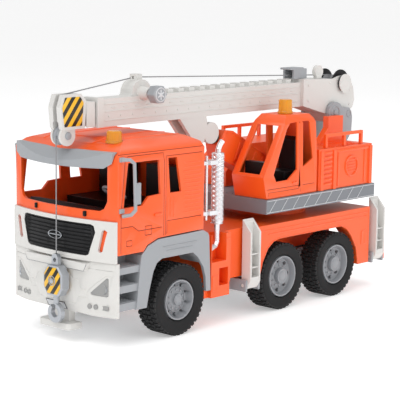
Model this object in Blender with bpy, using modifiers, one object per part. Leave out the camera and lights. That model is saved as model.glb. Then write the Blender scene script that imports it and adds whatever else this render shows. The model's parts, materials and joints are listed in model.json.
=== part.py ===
"""Toy crane truck, built as separate named pieces.

Lengths are in millimetres in this file and become metres where a mesh is made.
The truck faces -Y, its left side is +X and the ground is Z = 0.
"""
import math

import bmesh
import bpy
from mathutils import Matrix, Vector

# ---------------------------------------------------------------- driving dimensions (mm)
MM = 0.001
FRAME_SHIFT_Y = -5.1        # puts the world origin under the middle of the truck
GAP = 0.4                   # air between pieces that touch
SIDE = 82.5                 # half width over the bodywork

TYRE_RADIUS = 41.0
TYRE_INNER_X = 53.0
TYRE_OUTER_X = 82.2
FRONT_RIM_RADIUS = 23.0
REAR_RIM_RADIUS = 25.0
AXLE_RADIUS = 2.5
FRONT_AXLE_Y = -129.0
REAR_AXLE_YS = (54.0, 160.0)

FRAME_HALF = 30.0
FRAME_BOTTOM = 33.0
FRAME_TOP = 56.0
BODY_TOP = 108.0
BODY_FRONT_Y = -85.0
BODY_REAR_Y = 229.5

CAB_REAR_Y = -92.5
CAB_FRONT_Y = -240.0        # on the centre plane
CAB_CORNER_Y = -227.5       # where the bowed front meets the side
CAB_WALL = 3.0
CAB_BEACON = (50.0, -202.0, 221.0)
BELT_Z = 141.0              # top of the white grille panel
PANEL_BOTTOM_Z = 96.0
BUMPER_TOP_Z = 95.4
BUMPER_BOTTOM_Z = 36.0

SLEW_Y = 115.0
DECK_FRONT_Y = 19.0
DECK_REAR_Y = 238.0
DECK_BOTTOM_Z = 121.0
DECK_TOP_Z = 138.2

BOOM_X = 10.0               # the boom stands beside the operator's cab
PIVOT_Y = 215.0
PIVOT_Z = 227.5
BOOM_TILT = math.radians(0.5)
BOOM_HALF = 12.0
BOOM_LOW = 11.2             # underside of the boom above the pivot
BOOM_HIGH = 42.0
COLLAR_Y = -412.0           # front end of the outer boom, from the pivot
HEAD_FRONT = -467.0
HEAD_REAR = -429.0
INNER_REAR = -195.0          # still 77 mm inside the outer boom when drawn out
SHEAVE_Y = -455.0
SHEAVE_Z = 5.0
SHEAVE_GROOVE = 9.0
ROPE_RADIUS = 0.7

PINION_Y = -344.0
PINION_Z = 44.8
PINION_PITCH_RADIUS = 6.5
PINION_TEETH = 10
RACK_PITCH = 2 * math.pi * PINION_PITCH_RADIUS / PINION_TEETH
WINCH_Y = 22.0
WINCH_Z = 37.0
DRUM_RADIUS = 9.0

RAM_BASE_Y = 120.0
RAM_BASE_Z = 152.0
RAM_TOP_Y = -13.0           # pin on the boom's bracket, in the truck's frame
RAM_TOP_Z = 216.0
OUTRIGGER_X = 79.0
OUTRIGGER_Z = 40.0
OUTRIGGER_SPANS = {"front": (-15.6, 3.4), "rear": (237.6, 256.6)}

# ---------------------------------------------------------------- scene, materials, helpers
for old in list(bpy.data.objects):
    bpy.data.objects.remove(old, do_unlink=True)

parts = bpy.data.collections.new("toy_crane_truck")
tools = bpy.data.collections.new("cutters")
bpy.context.scene.collection.children.link(parts)
bpy.context.scene.collection.children.link(tools)


def make_material(name, colour, roughness, metallic=0.0):
    material = bpy.data.materials.new(name)
    material.use_nodes = True
    shader = material.node_tree.nodes["Principled BSDF"]
    shader.inputs["Base Color"].default_value = (*colour, 1.0)
    shader.inputs["Roughness"].default_value = roughness
    shader.inputs["Metallic"].default_value = metallic
    return material


ORANGE = make_material("orange_plastic", (0.86, 0.12, 0.02), 0.35)
WHITE = make_material("white_plastic", (0.80, 0.80, 0.78), 0.4)
GREY = make_material("grey_plastic", (0.30, 0.31, 0.33), 0.45)
BLACK = make_material("black_plastic", (0.015, 0.015, 0.016), 0.5)
RUBBER = make_material("black_rubber", (0.02, 0.02, 0.02), 0.75)
AMBER = make_material("amber_lens", (0.75, 0.38, 0.02), 0.2)
SMOKE = make_material("smoked_lens", (0.35, 0.35, 0.35), 0.15)
CHROME = make_material("bright_plating", (0.7, 0.7, 0.72), 0.15, 1.0)
STEEL = make_material("steel", (0.55, 0.56, 0.58), 0.3, 1.0)
ROPE = make_material("grey_rope", (0.25, 0.25, 0.26), 0.6)

# columns of each matrix: where the outline's two directions and its thickness point
PLANES = {
    "YZ": Matrix(((0, 0, 1), (1, 0, 0), (0, 1, 0))),
    "XZ": Matrix(((1, 0, 0), (0, 0, -1), (0, 1, 0))),
    "XY": Matrix.Identity(3),
}
TURNS = {
    "+X": Matrix(((0, 0, 1), (0, 1, 0), (-1, 0, 0))),
    "-X": Matrix(((0, 0, -1), (0, 1, 0), (1, 0, 0))),
    "+Y": Matrix(((1, 0, 0), (0, 0, 1), (0, -1, 0))),
    "+Z": Matrix.Identity(3),
}


def mesh_object(name, bm):
    mesh = bpy.data.meshes.new(name)
    bm.to_mesh(mesh)
    bm.free()
    obj = bpy.data.objects.new(name, mesh)
    tools.objects.link(obj)
    obj.hide_render = True
    obj.display_type = "WIRE"
    return obj


def box(low, high, name="block"):
    """A block between two corners."""
    bm = bmesh.new()
    size = [(b - a) * MM for a, b in zip(low, high)]
    middle = [(a + b) / 2 * MM for a, b in zip(low, high)]
    bmesh.ops.create_cube(bm, size=1.0)
    bmesh.ops.scale(bm, vec=size, verts=bm.verts)
    bmesh.ops.translate(bm, vec=middle, verts=bm.verts)
    return mesh_object(name, bm)


def rod(centre, radius, length, axis="+X", sides=24, end_radius=None, name="rod"):
    """A cylinder, or a cone when end_radius is given, centred on a point."""
    bm = bmesh.new()
    end = radius if end_radius is None else end_radius
    bmesh.ops.create_cone(bm, cap_ends=True, segments=sides, radius1=radius * MM,
                          radius2=end * MM, depth=length * MM)
    turn = TURNS[axis].to_4x4()
    bmesh.ops.transform(bm, matrix=Matrix.Translation(Vector(centre) * MM) @ turn, verts=bm.verts)
    return mesh_object(name, bm)


def from_curve(curve, matrix, name):
    """Turn a curve into a closed mesh object."""
    holder = bpy.data.objects.new(name, curve)
    tools.objects.link(holder)
    evaluated = holder.evaluated_get(bpy.context.evaluated_depsgraph_get())
    mesh = bpy.data.meshes.new_from_object(evaluated)
    bpy.data.objects.remove(holder)
    bm = bmesh.new()
    bm.from_mesh(mesh)
    bmesh.ops.remove_doubles(bm, verts=bm.verts, dist=1e-6)
    bmesh.ops.recalc_face_normals(bm, faces=bm.faces)
    bmesh.ops.transform(bm, matrix=matrix, verts=bm.verts)
    return mesh_object(name, bm)


def prism(outline, plane, low, high, name="prism"):
    """A flat outline given thickness from low to high across its plane."""
    curve = bpy.data.curves.new(name, "CURVE")
    curve.dimensions = "2D"
    curve.fill_mode = "BOTH"
    curve.extrude = (high - low) / 2 * MM
    spline = curve.splines.new("POLY")
    spline.points.add(len(outline) - 1)
    for point, (a, b) in zip(spline.points, outline):
        point.co = (a * MM, b * MM, 0.0, 1.0)
    spline.use_cyclic_u = True
    turn = PLANES[plane].to_4x4()
    across = (PLANES[plane] @ Vector((0, 0, 1)))
    sign = -1.0 if plane == "XZ" else 1.0
    place = Matrix.Translation(across * sign * (low + high) / 2 * MM)
    return from_curve(curve, place @ turn, name)


def tube(points, radius, resolution=2, name="tube"):
    """A round tube along straight runs between points."""
    curve = bpy.data.curves.new(name, "CURVE")
    curve.dimensions = "3D"
    curve.bevel_depth = radius * MM
    curve.bevel_resolution = resolution
    curve.use_fill_caps = True
    spline = curve.splines.new("POLY")
    spline.points.add(len(points) - 1)
    for point, place in zip(spline.points, points):
        point.co = (*(Vector(place) * MM), 1.0)
    return from_curve(curve, Matrix.Identity(4), name)


def turned(profile, centre, axis="+X", sides=28, closed=False, name="turned"):
    """A profile of (radius, height) spun round an axis with a Screw modifier."""
    bm = bmesh.new()
    verts = [bm.verts.new((r * MM, 0.0, h * MM)) for r, h in profile]
    for a, b in zip(verts, verts[1:]):
        bm.edges.new((a, b))
    if closed:
        bm.edges.new((verts[-1], verts[0]))
    obj = mesh_object(name, bm)
    obj.matrix_world = Matrix.Translation(Vector(centre) * MM) @ TURNS[axis].to_4x4()
    screw = obj.modifiers.new("turn", "SCREW")
    screw.axis = "Z"
    screw.angle = 2 * math.pi
    screw.steps = sides
    screw.render_steps = sides
    screw.use_merge_vertices = True
    screw.merge_threshold = 1e-5
    return obj


def combine(obj, operation, *others):
    """Stack Boolean modifiers, one for each other object."""
    for other in others:
        modifier = obj.modifiers.new(operation.lower(), "BOOLEAN")
        modifier.operation = operation
        modifier.solver = "EXACT"
        modifier.object = other
    return obj


def cut(obj, *others):
    return combine(obj, "DIFFERENCE", *others)


def join(obj, *others):
    return combine(obj, "UNION", *others)


def keep(obj, *others):
    return combine(obj, "INTERSECT", *others)


def soften(obj, width, segments=1, angle=40.0):
    """Round the edges that are sharper than an angle."""
    bevel = obj.modifiers.new("bevel", "BEVEL")
    bevel.width = width * MM
    bevel.segments = segments
    bevel.limit_method = "ANGLE"
    bevel.angle_limit = math.radians(angle)
    return obj


def joint_empty(name, place, parent=None, frame=None, turn_x=0.0):
    """An empty on a joint's axis, placed in a frame and hung on its parent."""
    empty = bpy.data.objects.new(name, None)
    parts.objects.link(empty)
    empty.empty_display_size = 0.01
    empty.parent = parent
    base = frame.matrix_world if frame else Matrix.Identity(4)
    turn = Matrix.Rotation(turn_x, 4, "X")
    empty.matrix_world = base @ Matrix.Translation(Vector(place) * MM) @ turn
    bpy.context.view_layer.update()
    return empty


def place_helper(helper, frame):
    """Carry a cutter into the frame that its piece is modelled in."""
    if helper.get("placed"):
        return
    helper["placed"] = True
    helper.matrix_world = frame @ helper.matrix_basis
    for modifier in helper.modifiers:
        if modifier.type == "BOOLEAN":
            place_helper(modifier.object, frame)


def piece(obj, name, material, parent, frame=None):
    """Name a finished shape, give it its material and hang it on its joint's empty.

    The shape is modelled in the truck's frame, or in the boom's when frame says so.
    """
    frame = frame or truck
    tools.objects.unlink(obj)
    parts.objects.link(obj)
    obj.hide_render = False
    obj.display_type = "TEXTURED"
    obj.name = name
    obj.data.name = name
    obj.data.materials.append(material)
    obj.parent = parent
    obj.matrix_parent_inverse = parent.matrix_world.inverted() @ frame.matrix_world
    for modifier in obj.modifiers:
        if modifier.type == "BOOLEAN":
            place_helper(modifier.object, frame.matrix_world)
    return obj


def bowed(centre_y, corner_y, half, count=12):
    """Points of a front that bows forward in the middle, from right to left."""
    xs = [half * (2 * i / count - 1) for i in range(count + 1)]
    return [(x, centre_y + (corner_y - centre_y) * (x / half) ** 2) for x in xs]


def bowed_skin(front, depth, half, low, high, name="skin"):
    """A curved panel that follows a bowed front, depth thick."""
    centre_y, corner_y = front
    outer = bowed(centre_y, corner_y, half)
    inner = bowed(centre_y + depth, corner_y + depth, half)
    return prism(outer + inner[::-1], "XY", low, high, name)


def mirrored(outline):
    return [(-a, b) for a, b in reversed(outline)]


def both_sides(make):
    """Call make with +1 for the left side and -1 for the right."""
    for side, sign in (("left", 1), ("right", -1)):
        make(side, sign)


def side_box(sign, near, far, ys, zs):
    """A block on one side of the truck, near and far measured from the centre plane."""
    low, high = sorted((sign * near, sign * far))
    return box((low, ys[0], zs[0]), (high, ys[1], zs[1]))


# ---------------------------------------------------------------- joint frames
truck = joint_empty("truck", (0, FRAME_SHIFT_Y, 0))
slew = joint_empty("slew_axis", (0, SLEW_Y, 0), truck, truck)
boom = joint_empty("boom_axis", (BOOM_X, PIVOT_Y, PIVOT_Z), slew, truck, BOOM_TILT)
telescope = joint_empty("telescope_axis", (0, COLLAR_Y, 0), boom, boom)


# ---------------------------------------------------------------- wheels
def make_wheelset(label, axle_y, rim_radius):
    spin = joint_empty(f"{label}_axis", (0, axle_y, TYRE_RADIUS), truck, truck)
    shaft = rod((0, axle_y, TYRE_RADIUS), AXLE_RADIUS, 151, sides=16)
    piece(shaft, f"{label}_shaft", STEEL, spin)
    hub_face = 78.5 if label == "front_axle" else 81.0
    lip = TYRE_OUTER_X - 0.9
    back = TYRE_INNER_X + 3
    rim = [(0, hub_face), (5.5, hub_face), (7, 75.5), (13, 75), (18, 72), (rim_radius - 3, 74),
           (rim_radius - 1.6, lip), (rim_radius, lip), (rim_radius, back), (rim_radius - 2, back),
           (rim_radius - 2.6, 69), (8, 71), (7, 60), (AXLE_RADIUS + 0.3, 60), (AXLE_RADIUS + 0.3, 75.9),
           (0, 75.9)]
    hole = rim_radius + 0.3
    tyre = [(hole, TYRE_OUTER_X - 2.5), (hole + 3, TYRE_OUTER_X - 0.6), (35, TYRE_OUTER_X),
            (39, TYRE_OUTER_X - 1.5), (TYRE_RADIUS, TYRE_OUTER_X - 5),
            (TYRE_RADIUS, TYRE_INNER_X + 5), (39, TYRE_INNER_X + 1.5), (35, TYRE_INNER_X),
            (hole + 3, TYRE_INNER_X + 0.6), (hole, TYRE_INNER_X + 2.5)]

    def make(side, sign):
        axis = "+X" if sign > 0 else "-X"
        place = (0, axle_y, TYRE_RADIUS)
        piece(turned(rim, place, axis, 24), f"{label}_rim_{side}", GREY, spin)
        piece(turned(tyre, place, axis, 32, closed=True), f"{label}_tyre_{side}", RUBBER, spin)

    both_sides(make)


make_wheelset("front_axle", FRONT_AXLE_Y, FRONT_RIM_RADIUS)
make_wheelset("rear_axle_1", REAR_AXLE_YS[0], REAR_RIM_RADIUS)
make_wheelset("rear_axle_2", REAR_AXLE_YS[1], REAR_RIM_RADIUS)


# ---------------------------------------------------------------- chassis
EAR = 2.9                   # thickness of the outrigger brackets' ears
EAR_GAP = 0.5


def make_frame():
    frame = box((-FRAME_HALF, -205, FRAME_BOTTOM), (FRAME_HALF, 260.2, FRAME_TOP))
    frame_nose = box((-22, -222, 40), (22, -200, 54))
    well = box((-FRAME_HALF + 3, -198, FRAME_BOTTOM + 3), (FRAME_HALF - 3, 228, FRAME_TOP + 5))
    arms = []
    holes = []
    for low_y, high_y in OUTRIGGER_SPANS.values():
        ys = (low_y - EAR_GAP - EAR, high_y + EAR_GAP + EAR)
        for sign in (1, -1):
            arms.append(side_box(sign, FRAME_HALF - 4, 68, ys, (FRAME_BOTTOM, 43)))
            for ear_y in (ys[0] + EAR / 2, ys[1] - EAR / 2):
                ear_ys = (ear_y - EAR / 2, ear_y + EAR / 2)
                arms.append(side_box(sign, 60, 84.5, ear_ys, (FRAME_BOTTOM, 47)))
            middle = (sign * OUTRIGGER_X, (low_y + high_y) / 2, OUTRIGGER_Z)
            holes.append(rod(middle, 2.7, 60, "+Y", 16))
    for y in (FRONT_AXLE_Y, *REAR_AXLE_YS):
        holes.append(rod((0, y, TYRE_RADIUS), AXLE_RADIUS + 0.35, 70, "+X", 16))
    cut(join(frame, frame_nose, *arms), well, *holes)
    piece(frame, "chassis_frame", GREY, truck)


def make_lower_body():
    body = box((-SIDE, BODY_FRONT_Y, 34.5), (SIDE, BODY_REAR_Y, BODY_TOP))
    tunnel = box((-62, BODY_FRONT_Y + 4, 20), (62, 250, 103))
    frame_gap = box((-31, -90, 20), (31, -70, FRAME_TOP + GAP))
    arch = [(2, 20), (5, 40), (12.5, 65), (22, 81), (33, 88), (45, 90.5), (169, 90.5), (182, 85),
            (191.5, 75), (203, 58), (206.5, 42), (208, 20)]
    wheel_arch = prism(arch, "YZ", -100, 100)
    cuts = [tunnel, frame_gap, wheel_arch]
    for sign in (1, -1):
        cuts.append(side_box(sign, 72, 90, (-45, 5), (20, 120)))          # outrigger's place
        cuts.append(side_box(sign, 40, 90, (-46, 8), (20, 50)))
        cuts.append(side_box(sign, 78, 90, (-95, -77.6), (20, 120)))      # behind the fender
        cuts.append(side_box(sign, 66, 90, (-77, -52), (76, 120)))        # recess for the pipe
        cuts.append(side_box(sign, 66, 90, (-64, -48.5), (47.5, 68)))     # step window
    ring = rod((0, SLEW_Y, 113.7), 52, 12.6, "+Z", 40)
    post = box((-20, -60, FRAME_TOP + GAP), (20, 226, 104))
    post_hollow = box((-17, -57, FRAME_TOP - 5), (17, 223, 99))
    bore = rod((0, SLEW_Y, 113), 20.8, 36, "+Z", 40)
    join(cut(body, *cuts), ring, post)
    piece(cut(body, post_hollow, bore), "lower_body", ORANGE, truck)


def make_fender(side, sign):
    arch = [(-198.4, 41), (-192.6, 92), (-191, 100.4), (-181, 109.6), (-165, 115), (-92, 116.2),
            (-84, 112), (-82, 108), (-78.4, 44.4), (-85.9, 44.4), (-87.4, 61), (-91.4, 73.8),
            (-100.4, 86), (-109, 92.6), (-159, 92.6), (-167, 88.7), (-172.5, 80), (-178.5, 60),
            (-182.5, 41)]
    low, high = sorted((sign * 79, sign * SIDE))
    fender = prism(arch, "YZ", low, high)
    low, high = sorted((sign * 50, sign * 80))
    inner = prism(arch, "YZ", low, high)
    behind = side_box(sign, 40, 78.6, (-95, -70), (30, 130))
    cut(inner, behind)
    backing = side_box(sign, 54, 58, (-223, -190), (42, 103.5))
    steps = [side_box(sign, 56, 80.5, (-223.8, -188), zs)
             for zs in ((82.5, 90), (62, 70), (42, 50.5))]
    join(fender, inner, backing, *steps)
    piece(fender, f"step_fender_{side}", GREY, truck)


def make_outrigger(place, side, sign):
    low_y, high_y = OUTRIGGER_SPANS[place]
    hinge = joint_empty(f"outrigger_{place}_{side}_axis",
                        (sign * OUTRIGGER_X, (low_y + high_y) / 2, OUTRIGGER_Z), truck, truck)
    outline = [(75, 36), (83, 36), (88, 44), (88, 103.5), (75, 118.5)]
    pocket = [(78, 50), (92, 50), (92, 95), (78, 108)]
    mouth = [(80, 90), (95, 90), (95, 125), (79, 125), (77.5, 112)]
    if sign < 0:
        outline, pocket, mouth = mirrored(outline), mirrored(pocket), mirrored(mouth)
    leg = prism(outline, "XZ", low_y, high_y)
    hollow = prism(pocket, "XZ", low_y + 3, high_y - 3)
    cut(leg, hollow, prism(mouth, "XZ", low_y + 3, high_y - 3))
    middle = (sign * OUTRIGGER_X, (low_y + high_y) / 2, OUTRIGGER_Z)
    pin = rod(middle, 2.2, high_y - low_y + 5.6, "+Y", 16)
    piece(join(leg, pin), f"outrigger_{place}_{side}", WHITE, hinge)


def make_rear_bumper():
    bar = box((-SIDE, 261, 34), (SIDE, 266, 66))
    notch = box((-34, 255, 46), (34, 270, 80))
    piece(soften(cut(bar, notch), 1.0), "rear_bumper", ORANGE, truck)


make_frame()
make_lower_body()
both_sides(make_fender)
for place in OUTRIGGER_SPANS:
    both_sides(lambda side, sign, place=place: make_outrigger(place, side, sign))
make_rear_bumper()


# ---------------------------------------------------------------- driver's cab
def cab_volume(inset, bottom):
    """The cab's outer form shrunk by inset, as the overlap of three outlines."""
    front, rear, roof = CAB_FRONT_Y + inset, CAB_REAR_Y - inset, -inset
    side_view = [(front, bottom), (front, 141), (front + 0.5, 150), (front + 7, 197),
                 (front + 14, 212 + roof), (front + 26, 219.5 + roof), (front + 50, 225 + roof),
                 (-130, 226.5 + roof), (-101, 224 + roof), (rear, 218 + roof), (rear, bottom)]
    edge = SIDE - inset
    front_view = [(-edge, 80), (-edge, 211.5), (-edge + 6, 217.5 + roof), (-58, 223.5 + roof),
                  (-30, 227 + roof), (30, 227 + roof), (58, 223.5 + roof),
                  (edge - 6, 217.5 + roof), (edge, 211.5), (edge, 80)]
    plan = bowed(front, CAB_CORNER_Y + inset, edge) + [(edge, rear), (-edge, rear)]
    volume = prism(side_view, "YZ", -edge, edge)
    return keep(volume, prism(front_view, "XZ", -260, -80), prism(plan, "XY", 70, 240))


def make_cab():
    cab = cab_volume(0.0, 104.4)
    over_fender = [(-188.5, 90), (-188.5, 104.4), (-182.5, 111), (-166, 116.6), (-80, 118), (-80, 90)]
    windscreen = [(-60, 151), (-66, 154), (-70, 162), (-70, 201), (70, 201), (70, 162), (66, 154),
                  (60, 151)]
    door_window = [(-219, 155), (-212.5, 203), (-165, 203), (-162.5, 165), (-181, 164),
                   (-190.5, 155)]
    rear_window = [(-151, 203.5), (-137, 203.5), (-129.5, 164.5), (-147.5, 164.5)]
    x, y, z = CAB_BEACON
    seat = rod((x, y, z - 4), 11, 7, "+Z", 24)
    pocket = rod((x, y, z + 9), 9.9, 18.8, "+Z", 24)
    cut(cab, cab_volume(CAB_WALL, 90), prism(over_fender, "YZ", -100, 100),
        prism(windscreen, "XZ", -260, -205), prism(door_window, "YZ", -100, 100),
        prism(rear_window, "YZ", -100, 100))
    cut(join(cab, seat), pocket)
    piece(cab, "cab_shell", ORANGE, truck)


def make_cab_interior():
    tub = box((-49, -222, 106), (49, -97, 122))
    bench = box((-72, -160, 119), (72, -98, 146))
    dash = [(-226, 119), (-226, 147), (-218, 151), (-206, 149), (-200, 138), (-200, 119)]
    additions = [bench, prism(dash, "YZ", -68, 68)]
    for sign in (1, -1):
        additions.append(side_box(sign, 14, 64, (-116, -101), (144, 188)))
    hollows = [box((-46, -219, 100), (46, -100, 119)), box((-69, -157, 110), (69, -101, 143)),
               box((-65, -223, 110), (65, -203, 145))]
    piece(cut(join(tub, *additions), *hollows), "cab_interior", BLACK, truck)


def make_steering_wheel():
    centre = Vector((38, -190, 164))
    ring = [(13 + 1.7 * math.cos(a), 1.7 * math.sin(a))
            for a in [-2 * math.pi * i / 8 for i in range(8)]]
    wheel = turned(ring, (0, 0, 0), "+Z", 24, closed=True)
    hub = rod((0, 0, -3), 3.2, 8, "+Z", 16)
    column = rod((0, 0, -10), 1.8, 12, "+Z", 12)
    bar = box((-12.8, -1.6, -1), (12.8, 1.6, 1))
    join(wheel, bar, hub, column)
    tilt = Matrix.Translation(centre * MM) @ Matrix.Rotation(math.radians(-35), 4, "X")
    for part in (wheel, hub, column, bar):
        part.matrix_world = tilt @ part.matrix_basis
    piece(wheel, "steering_wheel", GREY, truck)


def make_front_panels():
    surround_front = (CAB_FRONT_Y - 3.4, CAB_CORNER_Y - 3.4)
    surround = bowed_skin(surround_front, 3.0, SIDE, PANEL_BOTTOM_Z, BELT_Z)
    opening = [(-49, 103), (-58, 128), (-56, 135), (-52, 136.5), (52, 136.5), (56, 135), (58, 128),
               (49, 103), (45, 101.5), (-45, 101.5)]
    slot = [(61, 108), (66, 130), (69, 132.5), (73, 130), (71, 124), (67, 108), (64, 106.5)]
    cut(surround, prism(opening, "XZ", -270, -200), prism(slot, "XZ", -270, -200),
        prism(mirrored(slot), "XZ", -270, -200))
    piece(surround, "grille_surround", WHITE, truck)

    inset = [(a * (1 - GAP / 50), b + (GAP if b < 120 else -GAP)) for a, b in opening]
    grille = bowed_skin((CAB_FRONT_Y - 2.6, CAB_CORNER_Y - 2.6), 2.2, SIDE, 90, 150)
    piece(keep(grille, prism(inset, "XZ", -270, -200)), "grille", BLACK, truck)

    visor = bowed_skin((-243, -231.5), 9, 77, 194, 215)
    slope = [(-246, 198.5), (-245, 195.5), (-234.2, 197.5), (-227.5, 211.8), (-222, 216),
             (-226, 219), (-232, 216)]
    sky = cab_volume(-GAP, 90)
    piece(cut(keep(visor, prism(slope, "YZ", -90, 90)), sky), "sun_visor", GREY, truck)


HEADLIGHT = [(50, 61), (71, 79.5), (73, 78.5), (73, 60), (71, 58.5), (52, 59)]


def make_bumper():
    front = (-241.5, -229.0)
    half = SIDE
    plan = bowed(*front, half) + [(half, -224.4), (-half, -224.4)]
    bumper = prism(plan, "XY", BUMPER_BOTTOM_Z, BUMPER_TOP_Z)
    profile = [(-220, BUMPER_BOTTOM_Z), (-236.5, BUMPER_BOTTOM_Z), (-241.6, 46), (-241.6, 86),
               (-236.5, BUMPER_TOP_Z), (-220, BUMPER_TOP_Z)]
    flap = prism([(-50, 93.5), (-46, 85), (46, 85), (50, 93.5)], "XZ", -243.2, -230)
    lug = prism([(-25, -226), (-25, -242), (-22, -245.5), (22, -245.5), (25, -242), (25, -226)],
                "XY", 15.5, 22.6)
    neck = box((-14, -235, 20), (14, -226, 40))
    join(keep(bumper, prism(profile, "YZ", -90, 90)), flap, lug, neck)
    for outline in (HEADLIGHT, mirrored(HEADLIGHT)):
        cut(bumper, prism(outline, "XZ", -260, -229.5))
    piece(bumper, "bumper", WHITE, truck)

    def make_headlight(side, sign):
        small = [(61 + (a - 61) * 0.965, 68 + (b - 68) * 0.965) for a, b in HEADLIGHT]
        outline = small if sign > 0 else mirrored(small)
        lens = prism(outline, "XZ", -260, -229.5 - GAP)
        body = prism(plan, "XY", 50, 90)
        piece(keep(lens, body), f"headlight_{side}", SMOKE, truck)

    both_sides(make_headlight)


def make_beacon(name, place, height, parent):
    """A straight-sided warning lamp on a low flange."""
    x, y, z = place
    profile = [(0, height), (7.2, height), (8.2, height - 1.2), (8.6, 2.5), (9.4, 2.5), (9.4, 0),
               (0, 0)]
    lamp = turned(profile, (x, y, z), "+Z", 24)
    return piece(lamp, name, AMBER, parent)


def make_mirror(side, sign):
    rail = tube([(sign * x, y, z) for x, y, z in
                 ((SIDE + 1.5, -223.5, 207.5), (92, -219, 208), (95, -215.5, 204), (95, -213.5, 154),
                  (92, -217, 149), (SIDE + 1.5, -222.5, 147))], 2.1, 2)
    plate = side_box(sign, 94, 96.2, (-214.5, -206.5), (160, 183))
    piece(join(rail, plate), f"mirror_rail_{side}", GREY, truck)


def make_exhaust():
    x, y = 74.0, -60.0
    lower = tube([(x, y, 125), (x, y, 98), (x, y - 3, 93), (x, y - 16, 89)], 3.4, 3)
    shield = rod((x, y, 160), 6.6, 82, "+Z", 24)
    tip = tube([(x, y, 198), (x, y + 0.5, 205), (x, y + 3, 210), (x, y + 7, 214)], 3.2, 3)
    clamps = []
    for z in (133, 191):
        clamps.append(box((x - 5, y - 18, z - 2.5), (x + 5, y, z + 2.5)))
    for z in (133, 191):
        clamps.append(box((x - 3, CAB_REAR_Y + GAP, z - 2), (x + 3, y - 16, z + 2)))
    stay = rod((x, y - 19, 162), 1.6, 74, "+Z", 12)
    piece(join(shield, lower, tip, stay, *clamps), "exhaust_stack", CHROME, truck)


make_cab()
make_cab_interior()
make_steering_wheel()
make_front_panels()
make_bumper()
make_beacon("cab_beacon", CAB_BEACON, 13.3, truck)
both_sides(make_mirror)
make_exhaust()


# ---------------------------------------------------------------- superstructure
STAND_Z = DECK_TOP_Z + GAP
OP_LEFT, OP_RIGHT = 30.0, 80.0


def make_deck():
    deck = box((-SIDE, DECK_FRONT_Y, DECK_BOTTOM_Z), (SIDE, DECK_REAR_Y, DECK_TOP_Z))
    under = box((-SIDE + 3, DECK_FRONT_Y + 3, DECK_BOTTOM_Z - 5),
                (SIDE - 3, DECK_REAR_Y - 3, DECK_TOP_Z - 3))
    hub = rod((0, SLEW_Y, 123), 20.2, 26, "+Z", 40)
    rim = rod((0, SLEW_Y, 129), 56, 16, "+Z", 40)
    piece(join(cut(deck, under), rim, hub), "turret_deck", GREY, slew)


def operator_volume(inset, bottom):
    side_view = [(21.5 + inset, bottom), (15 + inset, 165), (55 + inset, 229 - inset),
                 (63 + inset, 236 - inset), (108 - inset, 236 - inset), (113 - inset, 231 - inset),
                 (118 - inset, 178), (118 - inset, bottom)]
    front_view = [(OP_LEFT + inset, 100), (OP_LEFT + inset, 224), (OP_LEFT + 5 + inset, 236 - inset),
                  (OP_RIGHT - 7 - inset, 236 - inset), (OP_RIGHT - inset, 226),
                  (OP_RIGHT - inset, 100)]
    return keep(prism(side_view, "YZ", 20, 90), prism(front_view, "XZ", 0, 130))


def make_operator_cab():
    cab = operator_volume(0.0, STAND_Z)
    door = [(34, 167), (57, 220), (63, 227), (77, 228), (79, 170), (62, 158.5), (39, 158)]
    rear = [(88, 228), (101, 228), (109, 181), (90, 172)]
    front = [(OP_LEFT + 9, 168), (OP_LEFT + 8, 224), (OP_RIGHT - 9, 224), (OP_RIGHT - 8, 168)]
    cut(cab, operator_volume(2.6, 130), prism(door, "YZ", 0, 100), prism(rear, "YZ", 0, 100),
        prism(front, "XZ", -20, 62))
    piece(cab, "operator_cab", ORANGE, slew)


def make_operator_interior():
    floor = box((34, 27, STAND_Z), (76.5, 114, STAND_Z + 3))
    console = box((38, 30, STAND_Z), (72, 39, 181))
    seat = box((41, 66, STAND_Z), (70, 98, 167))
    back = prism([(88, 160), (88, 203), (94, 208), (101, 206), (103, 160)], "YZ", 43, 68)
    join(floor, console, seat, back)
    piece(floor, "operator_interior", BLACK, slew)


def make_engine_housing():
    left = box((41, 122, STAND_Z), (80, 233, 190.5))
    right = box((-80, 96, STAND_Z), (-21, 233, 190.5))
    tail = box((-60, 226, STAND_Z), (60, 233, 170))
    shoulder = [(158, 180), (188, 210), (188, 224.5), (219, 224.5), (219, 180)]
    block_left = prism(shoulder, "YZ", 34, 43)
    block_right = prism(shoulder, "YZ", -23, -14)
    wing = [(66, STAND_Z), (66, 158), (98, 186), (100, 186), (100, STAND_Z)]
    slope = prism(wing, "YZ", -78, -24)
    ribs = []
    for y in (124, 150, 226):
        ribs.append(box((78, y, STAND_Z), (82, y + 6, 188)))
        ribs.append(box((-82, y, STAND_Z), (-78, y + 6, 188)))
    hollows = [box((44, 125, 130), (77, 224, 187.5)), box((-77, 103, 130), (-26, 224, 155)),
               box((-77, 104, 130), (-26, 224, 187.5))]
    join(left, right, tail, block_left, block_right, slope, *ribs)
    piece(cut(left, *hollows), "engine_housing", ORANGE, slew)


def make_handrail(side, sign):
    stand = 190.5 + GAP
    front, middle, rear = (140, 178, 214) if sign > 0 else (118, 150, 190)
    rail = side_box(sign, 73.5, 77.5, (front - 2, rear + 2), (204.5, 208.5))
    posts = [side_box(sign, 73.5, 77.5, (y - 2, y + 2), (stand, 207)) for y in (front, middle, rear)]
    piece(join(rail, *posts), f"handrail_{side}", ORANGE, slew)


STUB_RADIUS = 4.0


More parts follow.
